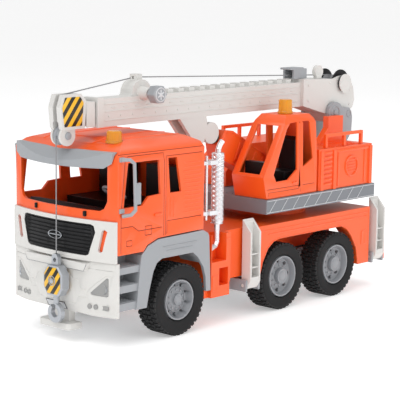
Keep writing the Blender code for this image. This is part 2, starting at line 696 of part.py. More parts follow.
def make_boom_bracket():
    plate = [(201, 227.5), (203.5, 236), (210, 240.8), (218, 241.3), (225, 238.5), (230, 233.5),
             (238, 233.2), (245.5, 232.5), (250, 227), (252, 220), (251, 200), (240, 186),
             (221, 176), (221, STAND_Z), (203, STAND_Z), (203, 218)]
    left = prism(plate, "YZ", 27.9, 33.2)
    right = prism(plate, "YZ", -13.2, -7.9)
    base = box((-10, 205, STAND_Z + 1), (30, 219, 150))
    stubs = [rod((25.6, PIVOT_Y, PIVOT_Z), STUB_RADIUS, 6.2, "+X", 20),
             rod((-5.6, PIVOT_Y, PIVOT_Z), STUB_RADIUS, 6.2, "+X", 20)]
    piece(join(left, right, base, *stubs), "boom_bracket", GREY, slew)


make_deck()
make_operator_cab()
make_operator_interior()
make_beacon("operator_beacon", (55, 84, 236.4), 17.0, slew)
make_engine_housing()
both_sides(make_handrail)
make_boom_bracket()


# ---------------------------------------------------------------- boom (in the boom's own frame)
WALL = 2.4
GEARBOX_HALF = 9.5


def make_outer_boom():
    tube_body = box((-BOOM_HALF, COLLAR_Y, BOOM_LOW), (BOOM_HALF, -55, BOOM_HIGH))
    rear = [(-60, 12), (-60, 46), (2, 43.5), (14, 46.5), (26, 47.3), (37, 43), (46, 31), (49, 14),
            (45, 4), (30, -4), (14, -12), (-8, -12), (-13, -1)]
    housing = prism(rear, "YZ", -17, 17)
    collar = box((-BOOM_HALF - 1.6, COLLAR_Y - 4, BOOM_LOW), (BOOM_HALF + 1.6, COLLAR_Y + 5,
                                                             BOOM_HIGH + 1.6))
    rungs = [box((-8, y, BOOM_HIGH - 1), (8, y + 9, BOOM_HIGH + 4.4))
             for y in range(-318, -70, 18)]
    gearbox_side = [(PINION_Y + 15.5 * math.cos(a), PINION_Z + 15.5 * math.sin(a))
                    for a in [math.pi * i / 10 for i in range(11)]]
    gearbox_side += [(PINION_Y - 19, BOOM_HIGH - 1), (PINION_Y + 19, BOOM_HIGH - 1)]
    gearbox = prism(gearbox_side, "YZ", -GEARBOX_HALF, GEARBOX_HALF)
    boss = rod((14, PINION_Y, PINION_Z), 8.5, 18, "+X", 24, end_radius=6.5)
    eye = prism([(PINION_Y - 5, 58), (PINION_Y - 5, 66), (PINION_Y + 5, 66), (PINION_Y + 5, 58)],
                "YZ", -5, 5)
    heel = [(-284, 12), (-270, 12), (-238, 12), (-236, 5), (-237, -8), (-242, -20), (-256, -22),
            (-262, -14)]
    cheeks = [prism(heel, "YZ", -11.5, -6.5), prism(heel, "YZ", 6.5, 11.5)]
    local_q = ram_pin_in_boom()
    discs = [rod((x, *local_q), 13, 5, "+X", 24) for x in (-9, 9)]
    boom_body = join(tube_body, housing, collar, gearbox, boss, eye, *rungs, *cheeks, *discs)
    bore = box((-9.6, COLLAR_Y - 30, BOOM_LOW + WALL), (9.6, -150, BOOM_HIGH - 2.6))
    hollow = box((-5.4, PINION_Y - 8.6, BOOM_HIGH - 6), (5.4, PINION_Y + 8.6, PINION_Z + 9))
    shaft_hole = rod((10, PINION_Y, PINION_Z), 2.9, 60, "+X", 16)
    drum_well = box((-14.4, 0.5, 17), (14.4, 43, 70))
    drum_hole = rod((0, WINCH_Y, WINCH_Z), 3.5, 60, "+X", 16)
    pivot = rod((0, 0, 0), STUB_RADIUS + 0.4, 60, "+X", 24)
    rope_hole = box((-1.5, PINION_Y - 8, 60.5), (1.5, PINION_Y + 8, 63.5))
    cut(boom_body, bore, hollow, shaft_hole, drum_well, drum_hole, pivot, rope_hole)
    piece(boom_body, "boom_outer", WHITE, boom, boom)


def ram_pin_in_boom():
    """The ram's top pin, as (y, z) in the boom's frame."""
    place = Vector((0, RAM_TOP_Y - PIVOT_Y, RAM_TOP_Z - PIVOT_Z))
    local = Matrix.Rotation(-BOOM_TILT, 3, "X") @ place
    return local.y, local.z


def make_extension_drive():
    hinge = joint_empty("extension_drive_axis", (0, PINION_Y, PINION_Z), boom, boom)
    gear = []
    for tooth in range(PINION_TEETH):
        middle = -math.pi / 2 + 2 * math.pi * tooth / PINION_TEETH
        for radius, half_angle in ((5.3, 0.2), (7.5, 0.07), (7.5, -0.07), (5.3, -0.2)):
            angle = middle - half_angle
            gear.append((PINION_Y + radius * math.cos(angle), PINION_Z + radius * math.sin(angle)))
    pinion = prism(gear, "YZ", -4.6, 4.6)
    shaft = rod((10, PINION_Y, PINION_Z), 2.5, 44, "+X", 16)
    knob = rod((33.2, PINION_Y, PINION_Z), 11, 12, "+X", 6)
    join(soften(knob, 1.2, 2, 30), pinion, shaft)
    piece(knob, "extension_knob", GREY, hinge, boom)


def make_winch():
    hinge = joint_empty("winch_axis", (0, WINCH_Y, WINCH_Z), boom, boom)
    profile = [(0, 21), (10.8, 21), (10.8, 18), (3.1, 17.4), (3.1, 14), (17.8, 14), (17.8, 12),
               (DRUM_RADIUS, 11), (DRUM_RADIUS, -11), (17.8, -12), (17.8, -14), (3.1, -14),
               (3.1, -17.4), (8, -18), (8, -20), (0, -20)]
    piece(turned(profile, (0, WINCH_Y, WINCH_Z), "+X", 28), "winch_drum", BLACK, hinge, boom)


def make_rope_guide():
    left = box((-9, -70, 46 + GAP), (-6, -44, 59))
    right = box((6, -70, 46 + GAP), (9, -44, 59))
    top = box((-9, -76, 58), (9, -50, 60.5))
    foot = box((-9, -58, 46 + GAP), (9, -46, 47.9))
    roller = rod((0, -50, 53.6), 2.6, 16, "+X", 16)
    piece(join(left, right, top, foot, roller), "rope_guide", GREY, boom, boom)


def make_inner_boom():
    inner = box((-9.2, -424.6, BOOM_LOW + WALL + 0.4), (9.2, INNER_REAR, 35))
    first = PINION_Y - RACK_PITCH * 2.5
    count = int((INNER_REAR - 2 - first) / RACK_PITCH)
    tooth = ((-1.3, 36.4), (-0.7, 39.0), (0.7, 39.0), (1.3, 36.4))
    edge = [(first + i * RACK_PITCH + dy, z) for i in range(count) for dy, z in tooth]
    rack = prism([(edge[0][0], 34)] + edge + [(edge[-1][0], 34)], "YZ", -4, 4)
    piece(join(inner, rack), "boom_inner", WHITE, telescope, boom)


def make_head():
    outline = [(HEAD_FRONT, 36), (-462, 49.5), (-437, 49.5), (HEAD_REAR, 41), (-432, 11.5),
               (-463, 11.5), (-465, 14)]
    head = prism(outline, "YZ", -10, 10)
    neck = box((-11.4, -430, 12.3), (11.4, -418, 40))
    slot = box((-4.4, -475, 0), (4.4, -441, 20))
    throat = box((-3, -475, 15), (3, -441, 60))
    cheeks = [rod((x, SHEAVE_Y, SHEAVE_Z), 11, 3, "+X", 24) for x in (6.5, -6.5)]
    hangers = [box((x - 1.2, SHEAVE_Y - 7, SHEAVE_Z), (x + 1.2, SHEAVE_Y + 11, 14))
               for x in (6.5, -6.5)]
    bore = rod((0, SHEAVE_Y, SHEAVE_Z), 2.3, 40, "+X", 16)
    socket = box((-9.6, -432, BOOM_LOW - 3), (9.6, -410, 35.4))
    cut(join(head, neck, *cheeks, *hangers), slot, throat, bore, socket)
    piece(head, "boom_head", WHITE, telescope, boom)


def make_sheave():
    hinge = joint_empty("sheave_axis", (0, SHEAVE_Y, SHEAVE_Z), telescope, boom)
    profile = [(0, 9.2), (3.6, 9.2), (3.6, 8.4), (1.9, 8.2), (1.9, 4), (10.4, 4), (10.4, 3),
               (SHEAVE_GROOVE, 1), (SHEAVE_GROOVE, -1), (10.4, -3), (10.4, -4), (1.9, -4),
               (1.9, -8.2), (3.6, -8.4), (3.6, -9.2), (0, -9.2)]
    piece(turned(profile, (0, SHEAVE_Y, SHEAVE_Z), "+X", 28), "head_sheave", GREY, hinge, boom)


make_outer_boom()
make_extension_drive()
make_winch()
make_rope_guide()
make_inner_boom()
make_head()
make_sheave()


# ---------------------------------------------------------------- lift ram
def make_ram():
    run = Vector((0, RAM_TOP_Y - RAM_BASE_Y, RAM_TOP_Z - RAM_BASE_Z))
    length = run.length
    turn = math.atan2(-run.z, -run.y)
    hinge = joint_empty("ram_axis", (BOOM_X, RAM_BASE_Y, RAM_BASE_Z), slew, truck, turn_x=turn)
    slide = joint_empty("ram_slide_axis", (0, 0, 0), hinge, hinge)
    # in the ram's frame -Y points along the ram towards the boom
    outline = [(6, -9), (10, -4), (10, 5), (6, 9), (-30, 14), (-112, 17), (-126, 12), (-128, -8), (-118, -21),
               (-60, -21), (-10, -12)]
    housing = prism(outline, "YZ", -11, 11)
    bore = rod((0, -76, 0), 6.4, 112, "+Y", 20)
    ears = rod((0, 0, 0), 4, 36, "+X", 20)
    piece(join(cut(housing, bore), ears), "ram_housing", ORANGE, hinge, hinge)
    rod_body = rod((0, -(length + 26) / 2, 0), 6, length - 26, "+Y", 20)
    eye = rod((0, -length, 0), 7, 11, "+X", 20)
    piece(join(rod_body, eye), "ram_rod", WHITE, slide, hinge)


def make_ram_cradle():
    cheeks = [box((x - 3, RAM_BASE_Y - 9, STAND_Z), (x + 3, RAM_BASE_Y + 9, RAM_BASE_Z + 8))
              for x in (BOOM_X - 15, BOOM_X + 15)]
    base = box((BOOM_X - 17, RAM_BASE_Y - 8, STAND_Z + 0.2),
               (BOOM_X + 17, RAM_BASE_Y + 8, STAND_Z + 1.6))
    bore = rod((BOOM_X, RAM_BASE_Y, RAM_BASE_Z), 4.4, 60, "+X", 20)
    piece(cut(join(base, *cheeks), bore), "ram_cradle", ORANGE, slew)


make_ram()
make_ram_cradle()


# ---------------------------------------------------------------- hook and rope
ROPE_Y = PIVOT_Y + SHEAVE_Y - SHEAVE_GROOVE - ROPE_RADIUS - 0.1
BLOCK_Z = 71.0
HOOK_Z = 40.0


def rope_top_z():
    return PIVOT_Z + SHEAVE_Z + SHEAVE_Y * math.sin(BOOM_TILT)


hang = joint_empty("hang_axis", (BOOM_X, ROPE_Y, rope_top_z()), telescope, truck)
hoist = joint_empty("hoist_axis", (BOOM_X, ROPE_Y, BLOCK_Z), hang, truck)
swivel = joint_empty("hook_swivel_axis", (BOOM_X, ROPE_Y, HOOK_Z), hoist, truck)


def make_hook_block():
    outline = [(-9, -17), (-15, -8), (-15, 8), (-8, 17), (8, 17), (15, 8), (15, -8), (9, -17)]
    block = prism([(BOOM_X + a, BLOCK_Z + b) for a, b in outline], "XZ", ROPE_Y - 6, ROPE_Y + 6)
    shackle = prism([(BOOM_X + a, BLOCK_Z + b) for a, b in
                     ((-5, 15), (-5, 26), (-2.5, 29), (2.5, 29), (5, 26), (5, 15))],
                    "XZ", ROPE_Y - 2.5, ROPE_Y + 2.5)
    eye = rod((BOOM_X, ROPE_Y, BLOCK_Z + 22.5), 2.6, 12, "+Y", 16)
    neck = rod((BOOM_X, ROPE_Y, BLOCK_Z - 18), 3.4, 6, "+Z", 16)
    pin_hole = rod((BOOM_X, ROPE_Y, BLOCK_Z - 18), 1.8, 14, "+Z", 16)
    piece(cut(join(soften(block, 1.0), shackle, neck), eye, pin_hole), "hook_block", GREY, hoist)


def make_hook():
    """A shank with a cap, and an open ring below it."""
    centre_z = HOOK_Z - 5.5
    outer, inner = 11.0, 5.6
    start, stop = math.radians(80), math.radians(-230)
    steps = 14
    angles = [start + (stop - start) * i / steps for i in range(steps + 1)]
    ring = [(BOOM_X + outer * math.cos(a), centre_z + outer * math.sin(a)) for a in angles]
    ring += [(BOOM_X + inner * math.cos(a), centre_z + 0.6 + inner * math.sin(a))
             for a in reversed(angles)]
    hook = prism(ring, "XZ", ROPE_Y - 3, ROPE_Y + 3)
    shank = rod((BOOM_X, ROPE_Y, HOOK_Z + 7), 3.2, 6, "+Z", 16)
    pin = rod((BOOM_X, ROPE_Y, HOOK_Z + 12), 1.4, 10, "+Z", 16)
    piece(join(soften(hook, 1.2), shank, pin), "hook", GREY, swivel)


def make_ropes():
    top = rope_top_z()
    hanging = tube([(BOOM_X, ROPE_Y, top + (BLOCK_Z + 29.4 - top) * i / 20) for i in range(21)],
                   ROPE_RADIUS, 2)
    piece(hanging, "rope_hoist", ROPE, hoist)
    winch_off = (0, WINCH_Y - 3, WINCH_Z + DRUM_RADIUS + 1.3)
    upper = tube([Vector(winch_off).lerp(Vector((0, -50, 50)), i / 8) for i in range(8)]
                 + [Vector((0, -50, 50)).lerp(Vector((0, PINION_Y + 8.6, 62)), i / 20)
                    for i in range(21)], ROPE_RADIUS, 2)
    piece(upper, "rope_upper", ROPE, boom, boom)
    front = tube([Vector((0, PINION_Y - 8.6, 61.6)).lerp(Vector((0, -436, 50.8)), i / 10)
                  for i in range(11)], ROPE_RADIUS, 2)
    piece(front, "rope_front", ROPE, boom, boom)


make_hook_block()
make_hook()
make_ropes()
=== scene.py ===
# %% [markdown]
# # A toy crane truck
# The real object is a moulded plastic truck about half a metre long, with a crane on a
# turntable behind the cab. The CAD model already gives every piece its size and its place,
# so this lesson dresses it: it swaps a few plain solids for detailed ones, adds trim, and
# gives each plastic, rubber and metal a finish made of nodes.

# %% Load the frame
import json
import math

import bmesh
import bpy
from mathutils import Matrix, Vector


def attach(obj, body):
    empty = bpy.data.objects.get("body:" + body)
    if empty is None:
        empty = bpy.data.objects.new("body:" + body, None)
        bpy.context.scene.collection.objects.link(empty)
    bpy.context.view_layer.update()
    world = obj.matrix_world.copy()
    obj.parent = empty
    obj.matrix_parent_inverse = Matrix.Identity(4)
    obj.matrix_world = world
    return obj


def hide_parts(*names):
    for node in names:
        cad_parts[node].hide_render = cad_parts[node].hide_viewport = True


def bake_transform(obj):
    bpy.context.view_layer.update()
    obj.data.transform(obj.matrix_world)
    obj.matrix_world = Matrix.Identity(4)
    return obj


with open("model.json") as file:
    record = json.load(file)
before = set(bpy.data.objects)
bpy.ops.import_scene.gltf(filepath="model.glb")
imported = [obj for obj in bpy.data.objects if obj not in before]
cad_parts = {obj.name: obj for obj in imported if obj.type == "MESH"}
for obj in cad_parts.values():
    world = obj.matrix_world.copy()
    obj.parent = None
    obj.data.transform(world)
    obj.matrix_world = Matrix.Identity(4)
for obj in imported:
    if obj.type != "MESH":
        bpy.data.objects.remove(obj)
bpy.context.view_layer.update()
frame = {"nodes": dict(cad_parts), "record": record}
MM = 0.001
joints = {joint["name"]: joint for joint in frame["record"]["behaviour"]["joints"]}

# %% [markdown]
# ## Two ways to say where something is
# On the carrier I count millimetres as its drawing does: across, along and up, with the
# turntable's axis 115 mm behind the drawing's origin. On the boom it is easier to count along
# the boom from its pivot, whatever way the boom points, so it has a matrix of its own.

# %% The two frames
slew_y = joints["turret_slew"]["pos_m"][1]
SLEW_FROM_ORIGIN = 115.0 * MM
CARRIER = Matrix.Translation((0.0, slew_y - SLEW_FROM_ORIGIN, 0.0))
BOOM_TILT = math.radians(0.5)
BOOM = Matrix.Translation(joints["boom_luff"]["pos_m"]) @ Matrix.Rotation(BOOM_TILT, 4, "X")
print("shift along the truck", round(CARRIER.translation.y / MM, 2), "mm")

# %% [markdown]
# ## Camera
# A long lens from a good metre and a half away keeps the truck's sides nearly parallel, as in
# a catalogue. The camera stands off the front left corner, a little higher than the truck, and
# is rolled by less than a degree.

# %% Camera
AZIMUTH, PITCH, ROLL = (math.radians(a) for a in (42.364, 8.959, 0.812))
across = Vector((math.cos(AZIMUTH), math.sin(AZIMUTH), 0))
ahead = Vector((-math.sin(AZIMUTH) * math.cos(PITCH), math.cos(AZIMUTH) * math.cos(PITCH),
                -math.sin(PITCH)))
above = across.cross(ahead)
right = math.cos(ROLL) * across + math.sin(ROLL) * above
up = -math.sin(ROLL) * across + math.cos(ROLL) * above
camera_data = bpy.data.cameras.new("catalogue_lens")
camera_data.lens = 126
camera = bpy.data.objects.new("camera", camera_data)
bpy.context.scene.collection.objects.link(camera)
camera.matrix_world = (Matrix.Translation(CARRIER @ (Vector((1131.35, -1248.85, 396.8)) * MM))
                       @ Matrix((right, up, -ahead)).transposed().to_4x4())
bpy.context.scene.camera = camera
print("camera stands at", [round(c, 3) for c in camera.matrix_world.translation])

# %% [markdown]
# ## Light and floor
# The truck stands on a pale sheet in an even, bright studio. One big soft lamp above and in
# front gives the plastic its long highlights, a second one fills the side that faces us, and a
# third one lights it from above and behind. The camera sees the studio brighter than it
# lights, so the sheet's far edge melts into it.

# %% Light and floor
scene = bpy.context.scene
scene.view_settings.view_transform = "Standard"
world = bpy.data.worlds.new("studio")
world.use_nodes = True
studio = world.node_tree
light = studio.nodes["Background"]
light.inputs["Color"].default_value = (1.0, 1.0, 1.0, 1.0)
light.inputs["Strength"].default_value = 0.6
seen = studio.nodes.new("ShaderNodeBackground")
seen.inputs["Color"].default_value = (1.0, 1.0, 1.0, 1.0)
seen.inputs["Strength"].default_value = 1.02
ray = studio.nodes.new("ShaderNodeLightPath")
either = studio.nodes.new("ShaderNodeMixShader")
studio.links.new(ray.outputs["Is Camera Ray"], either.inputs[0])
studio.links.new(light.outputs[0], either.inputs[1])
studio.links.new(seen.outputs[0], either.inputs[2])
studio.links.new(either.outputs[0], studio.nodes["World Output"].inputs[0])
scene.world = world


def soft_lamp(name, place, size, power):
    """A square area lamp aimed at the middle of the truck."""
    data = bpy.data.lights.new(name, "AREA")
    data.size = size
    data.energy = power
    lamp = bpy.data.objects.new(name, data)
    scene.collection.objects.link(lamp)
    aim = Vector((0, 0, 0.12)) - Vector(place)
    turn = aim.to_track_quat("-Z", "Y").to_matrix().to_4x4()
    lamp.matrix_world = Matrix.Translation(place) @ turn


soft_lamp("key_lamp", (0.5, -1.6, 2.0), 1.6, 21)
soft_lamp("side_lamp", (2.2, 0.2, 1.0), 1.4, 11)
soft_lamp("top_lamp", (-0.4, 0.6, 2.2), 1.6, 11)

bpy.ops.mesh.primitive_plane_add(size=60, location=(0, 0, -0.0002))
floor = bpy.context.object
floor.name = "pale_floor"
paper = bpy.data.materials.new("backdrop_paper")
paper.use_nodes = True
sheet = paper.node_tree.nodes["Principled BSDF"]
mottle = paper.node_tree.nodes.new("ShaderNodeTexNoise")
mottle.inputs["Scale"].default_value = 90.0
tone = paper.node_tree.nodes.new("ShaderNodeValToRGB")
tone.color_ramp.elements[0].color = (0.93, 0.93, 0.93, 1.0)
tone.color_ramp.elements[1].color = (0.97, 0.97, 0.97, 1.0)
paper.node_tree.links.new(mottle.outputs[0], tone.inputs[0])
paper.node_tree.links.new(tone.outputs[0], sheet.inputs["Base Color"])
sheet.inputs["Roughness"].default_value = 0.9
sheet.inputs["Emission Color"].default_value = (1.0, 1.0, 1.0, 1.0)
sheet.inputs["Emission Strength"].default_value = 0.36
floor.data.materials.append(paper)

# %% [markdown]
# ## Modelling helpers
# Everything new below starts as a primitive and is shaped as by hand: choose some faces,
# inset them, push them out, round the edges. These few helpers only save typing. Sizes are
# in millimetres, and each piece is moved into the model's frame when it is finished.

# %% Starting a piece
def clear_selection():
    if bpy.context.mode != "OBJECT":
        bpy.ops.object.mode_set(mode="OBJECT")
    bpy.ops.object.select_all(action="DESELECT")


def hold(obj):
    """Make one object the only selected and active one."""
    clear_selection()
    obj.select_set(True)
    bpy.context.view_layer.objects.active = obj
    return obj


def started(name):
    obj = bpy.context.object
    obj.name = name
    bpy.ops.object.transform_apply(location=True, rotation=True, scale=True)
    return obj


def block(name, low, high):
    """A cube stretched between two corners."""
    clear_selection()
    low, high = Vector(low), Vector(high)
    bpy.ops.mesh.primitive_cube_add(size=1, location=(low + high) / 2 * MM,
                                    scale=(high - low) * MM)
    return started(name)


def side_block(name, sign, near, far, start, end):
    """A block against one side of the truck, between two corners that look along it."""
    low, high = sorted((sign * near, sign * far))
    return block(name, (low, *start), (high, *end))


TURNS = {"X": (0, math.pi / 2, 0), "Y": (math.pi / 2, 0, 0), "Z": (0, 0, 0)}


def disc(name, centre, radius, depth, axis="X", sides=32):
    """A cylinder, which lies along the axis it is given."""
    clear_selection()
    bpy.ops.mesh.primitive_cylinder_add(vertices=sides, radius=radius * MM, depth=depth * MM,
                                        location=Vector(centre) * MM, rotation=TURNS[axis])
    return started(name)


def ring(name, centre, radius, thickness, axis="X", sides=40, around=10):
    clear_selection()
    bpy.ops.mesh.primitive_torus_add(major_radius=radius * MM, minor_radius=thickness * MM,
                                     major_segments=sides, minor_segments=around,
                                     location=Vector(centre) * MM, rotation=TURNS[axis])
    return started(name)


# %% Editing it
def edit_all(obj):
    """Open a piece for editing with everything selected."""
    hold(obj)
    bpy.ops.object.mode_set(mode="EDIT")
    bpy.ops.mesh.select_all(action="SELECT")


def leave_editing():
    bpy.ops.object.mode_set(mode="OBJECT")


def choose(obj, test):
    """Open a piece for editing with only the faces that pass a test selected."""
    hold(obj)
    bpy.ops.object.mode_set(mode="EDIT")
    bpy.ops.mesh.select_mode(type="FACE")
    bpy.ops.mesh.select_all(action="DESELECT")
    cage = bmesh.from_edit_mesh(obj.data)
    for face in cage.faces:
        face.select_set(bool(test(face.calc_center_median() / MM, face.normal)))
    bmesh.update_edit_mesh(obj.data)


def facing(axis, sign=0):
    """A test for faces that look along an axis, one way or both."""
    index = "XYZ".index(axis)
    return lambda centre, normal: (abs(normal[index]) > 0.9 if sign == 0
                                   else normal[index] * sign > 0.9)


def sink(obj, test, border, depth):
    """Inset the chosen faces and push the middle in, or out when the depth is negative."""
    choose(obj, test)
    bpy.ops.mesh.inset(thickness=border * MM, depth=-depth * MM)
    leave_editing()
    return obj


def use(obj, kind, **settings):
    """Add a modifier, set it and apply it."""
    hold(obj)
    modifier = obj.modifiers.new(kind.lower(), kind)
    for key, value in settings.items():
        setattr(modifier, key, value)
    bpy.ops.object.modifier_apply(modifier=modifier.name)
    return obj


def round_edges(obj, width, segments=2, angle=35):
    return use(obj, "BEVEL", width=width * MM, segments=segments, limit_method="ANGLE",
               angle_limit=math.radians(angle))


def repeated(obj, count, step):
    return use(obj, "ARRAY", count=count, use_relative_offset=False, use_constant_offset=True,
               constant_offset_displace=Vector(step) * MM)


def repeated_round(obj, count, centre, axis):
    """Copies all round an axis, by a spin that duplicates."""
    edit_all(obj)
    bpy.ops.mesh.spin(steps=count - 1, dupli=True, angle=2 * math.pi * (count - 1) / count,
                      center=Vector(centre) * MM, axis=axis)
    leave_editing()
    return obj


def joined(*objs):
    hold(objs[0])
    for obj in objs:
        obj.select_set(True)
    bpy.ops.object.join()
    return objs[0]


def cut_away(obj, *cutters):
    for cutter in cutters:
        use(obj, "BOOLEAN", operation="DIFFERENCE", solver="EXACT", use_self=True,
            object=cutter)
        bpy.data.objects.remove(cutter)
    return obj


def plate(name, outline, plane, low, high):
    """A flat outline with thickness: a filled circle whose corners are moved, then pushed out."""
    clear_selection()
    bpy.ops.mesh.primitive_circle_add(vertices=len(outline), radius=MM, fill_type="NGON")
    obj = started(name)
    places = {"YZ": lambda a, b: (low, a, b), "XZ": lambda a, b: (a, low, b)}[plane]
    for corner, (a, b) in zip(obj.data.vertices, outline):
        corner.co = Vector(places(a, b)) * MM
    edit_all(obj)
    push = {"YZ": (high - low, 0, 0), "XZ": (0, high - low, 0)}[plane]
    bpy.ops.mesh.extrude_region_move(TRANSFORM_OT_translate={"value": Vector(push) * MM})
    bpy.ops.mesh.select_all(action="SELECT")
    bpy.ops.mesh.normals_make_consistent(inside=False)
    leave_editing()
    return obj


def wire(name, routes, radius, detail=2):
    """Round bars along lines: a curve with thickness, made a mesh."""
    curve = bpy.data.curves.new(name, "CURVE")
    curve.dimensions = "3D"
    curve.bevel_depth = radius * MM
    curve.bevel_resolution = detail
    curve.use_fill_caps = True
    for route in routes:
        spline = curve.splines.new("POLY")
        spline.points.add(len(route) - 1)
        for point, place in zip(spline.points, route):
            point.co = (*(Vector(place) * MM), 1.0)
    obj = bpy.data.objects.new(name, curve)
    scene.collection.objects.link(obj)
    hold(obj)
    bpy.ops.object.convert(target="MESH")
    obj = bpy.context.object
    edit_all(obj)
    bpy.ops.mesh.remove_doubles(threshold=1e-6)
    bpy.ops.mesh.normals_make_consistent(inside=False)
    leave_editing()
    return obj


def copy_of(node):
    """The CAD piece as one connected mesh in carrier millimetres, ready to be worked on."""
    source = frame["nodes"][node]
    obj = source.copy()
    obj.data = source.data.copy()
    obj.data.materials.clear()
    obj.name = node + "_detailed"
    scene.collection.objects.link(obj)
    obj.parent = None
    obj.matrix_world = Matrix.Identity(4)
    obj.data.transform(CARRIER.inverted())
    edit_all(obj)
    bpy.ops.mesh.remove_doubles(threshold=1e-6)
    bpy.ops.mesh.dissolve_limited(angle_limit=math.radians(0.5))
    leave_editing()
    return obj


made = []


def finished(obj, body, material, place=CARRIER):
    """Settle a piece in the model's frame, on its body and in its finish."""
    hold(obj)
    obj.data.transform(place)
    bpy.ops.object.shade_smooth_by_angle(angle=math.radians(35))
    obj.data.materials.clear()
    obj.data.materials.append(material)
    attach(obj, body)
    made.append(obj.name)
    return obj

# %% [markdown]
# ## Finishes
# Injection-moulded plastic is never one flat colour: the grain of the mould scatters light,
# handling polishes the faces, and corners rub paler. Two node groups do that for every
# plastic here. One gives the surface its grain and uneven gloss, the other shades the colour
# and finds the edges by comparing the real normal with one that is rounded off.

# %% Node helpers
def node(tree, kind, settings=None, **values):
    """A node with its settings, and values for its inputs by name."""
    made_node = tree.nodes.new("ShaderNode" + kind)
    for key, value in (settings or {}).items():
        setattr(made_node, key, value)
    for key, value in values.items():
        made_node.inputs[key.replace("_", " ")].default_value = value
    return made_node


def new_group(name, inputs, outputs):
    """An empty node group with its sockets, and its two end nodes."""
    tree = bpy.data.node_groups.new(name, "ShaderNodeTree")
    for label, kind, value in inputs:
        socket = tree.interface.new_socket(name=label, in_out="INPUT",
                                           socket_type="NodeSocket" + kind)
        socket.default_value = value
    for label, kind in outputs:
        tree.interface.new_socket(name=label, in_out="OUTPUT", socket_type="NodeSocket" + kind)
    return tree, tree.nodes.new("NodeGroupInput"), tree.nodes.new("NodeGroupOutput")


def link(tree, *pairs):
    for source, target in pairs:
        tree.links.new(source, target)


def mix_colour(tree, blend="MIX"):
    """A colour mixer's factor, its two colours and its result."""
    mixer = tree.nodes.new("ShaderNodeMix")
    mixer.data_type = "RGBA"
    mixer.blend_type = blend
    return mixer.inputs[0], mixer.inputs[6], mixer.inputs[7], mixer.outputs[2]


# %% The mould's grain
tree, given, result = new_group(
    "moulded_grain",
    [("Grain", "Float", 900.0), ("Roughness", "Float", 0.4), ("Spread", "Float", 0.12)],
    [("Roughness", "Float"), ("Height", "Float")])
where = node(tree, "TexCoord")
fine = node(tree, "TexNoise", Detail=3.0)
broad = node(tree, "TexNoise", Scale=22.0, Detail=4.0)
centred = node(tree, "Math", {"operation": "SUBTRACT"})
centred.inputs[1].default_value = 0.5
spread = node(tree, "Math", {"operation": "MULTIPLY_ADD"})
link(tree,
     (where.outputs["Object"], fine.inputs["Vector"]),
     (where.outputs["Object"], broad.inputs["Vector"]),
     (given.outputs["Grain"], fine.inputs["Scale"]), (broad.outputs["Fac"], centred.inputs[0]),
     (centred.outputs[0], spread.inputs[0]), (given.outputs["Spread"], spread.inputs[1]),
     (given.outputs["Roughness"], spread.inputs[2]),
     (spread.outputs[0], result.inputs["Roughness"]),
     (fine.outputs["Fac"], result.inputs["Height"]))
GRAIN = tree

# %% Rubbed edges and uneven colour
tree, given, result = new_group(
    "handled_colour",
    [("Colour", "Color", (0.8, 0.8, 0.8, 1.0)), ("Rub", "Float", 0.3), ("Cloud", "Float", 0.06)],
    [("Colour", "Color"), ("Edge", "Float")])
where = node(tree, "TexCoord")
cloud = node(tree, "TexNoise", Scale=9.0, Detail=5.0)
cloudy = node(tree, "MapRange", To_Min=1.0, To_Max=1.0)
low_end = node(tree, "Math", {"operation": "SUBTRACT"})
low_end.inputs[0].default_value = 1.0
shade_by, shade_a, shade_b, shaded = mix_colour(tree, "MULTIPLY")
shade_by.default_value = 1.0
rounded = node(tree, "Bevel", {"samples": 3}, Radius=0.0007)
true_normal = node(tree, "NewGeometry")
alike = node(tree, "VectorMath", {"operation": "DOT_PRODUCT"})
edge = node(tree, "MapRange", From_Min=0.995, From_Max=0.9, To_Min=0.0, To_Max=1.0)
patchy = node(tree, "TexNoise", Scale=180.0, Detail=2.0)
worn = node(tree, "Math", {"operation": "MULTIPLY"})
rubbed = node(tree, "Math", {"operation": "MULTIPLY", "use_clamp": True})
pale_by, pale_a, pale_b, paled = mix_colour(tree, "SCREEN")
pale_b.default_value = (0.35, 0.35, 0.35, 1.0)
link(tree,
     (where.outputs["Object"], cloud.inputs["Vector"]),
     (where.outputs["Object"], patchy.inputs["Vector"]),
     (given.outputs["Cloud"], low_end.inputs[1]), (cloud.outputs["Fac"], cloudy.inputs["Value"]),
     (low_end.outputs[0], cloudy.inputs["To Min"]), (given.outputs["Colour"], shade_a),
     (cloudy.outputs[0], shade_b), (rounded.outputs["Normal"], alike.inputs[0]),
     (true_normal.outputs["Normal"], alike.inputs[1]),
     (alike.outputs["Value"], edge.inputs["Value"]), (edge.outputs[0], worn.inputs[0]),
     (patchy.outputs["Fac"], worn.inputs[1]), (worn.outputs[0], rubbed.inputs[0]),
     (given.outputs["Rub"], rubbed.inputs[1]), (rubbed.outputs[0], pale_by), (shaded, pale_a),
     (paled, result.inputs["Colour"]), (rubbed.outputs[0], result.inputs["Edge"]))
HANDLED = tree


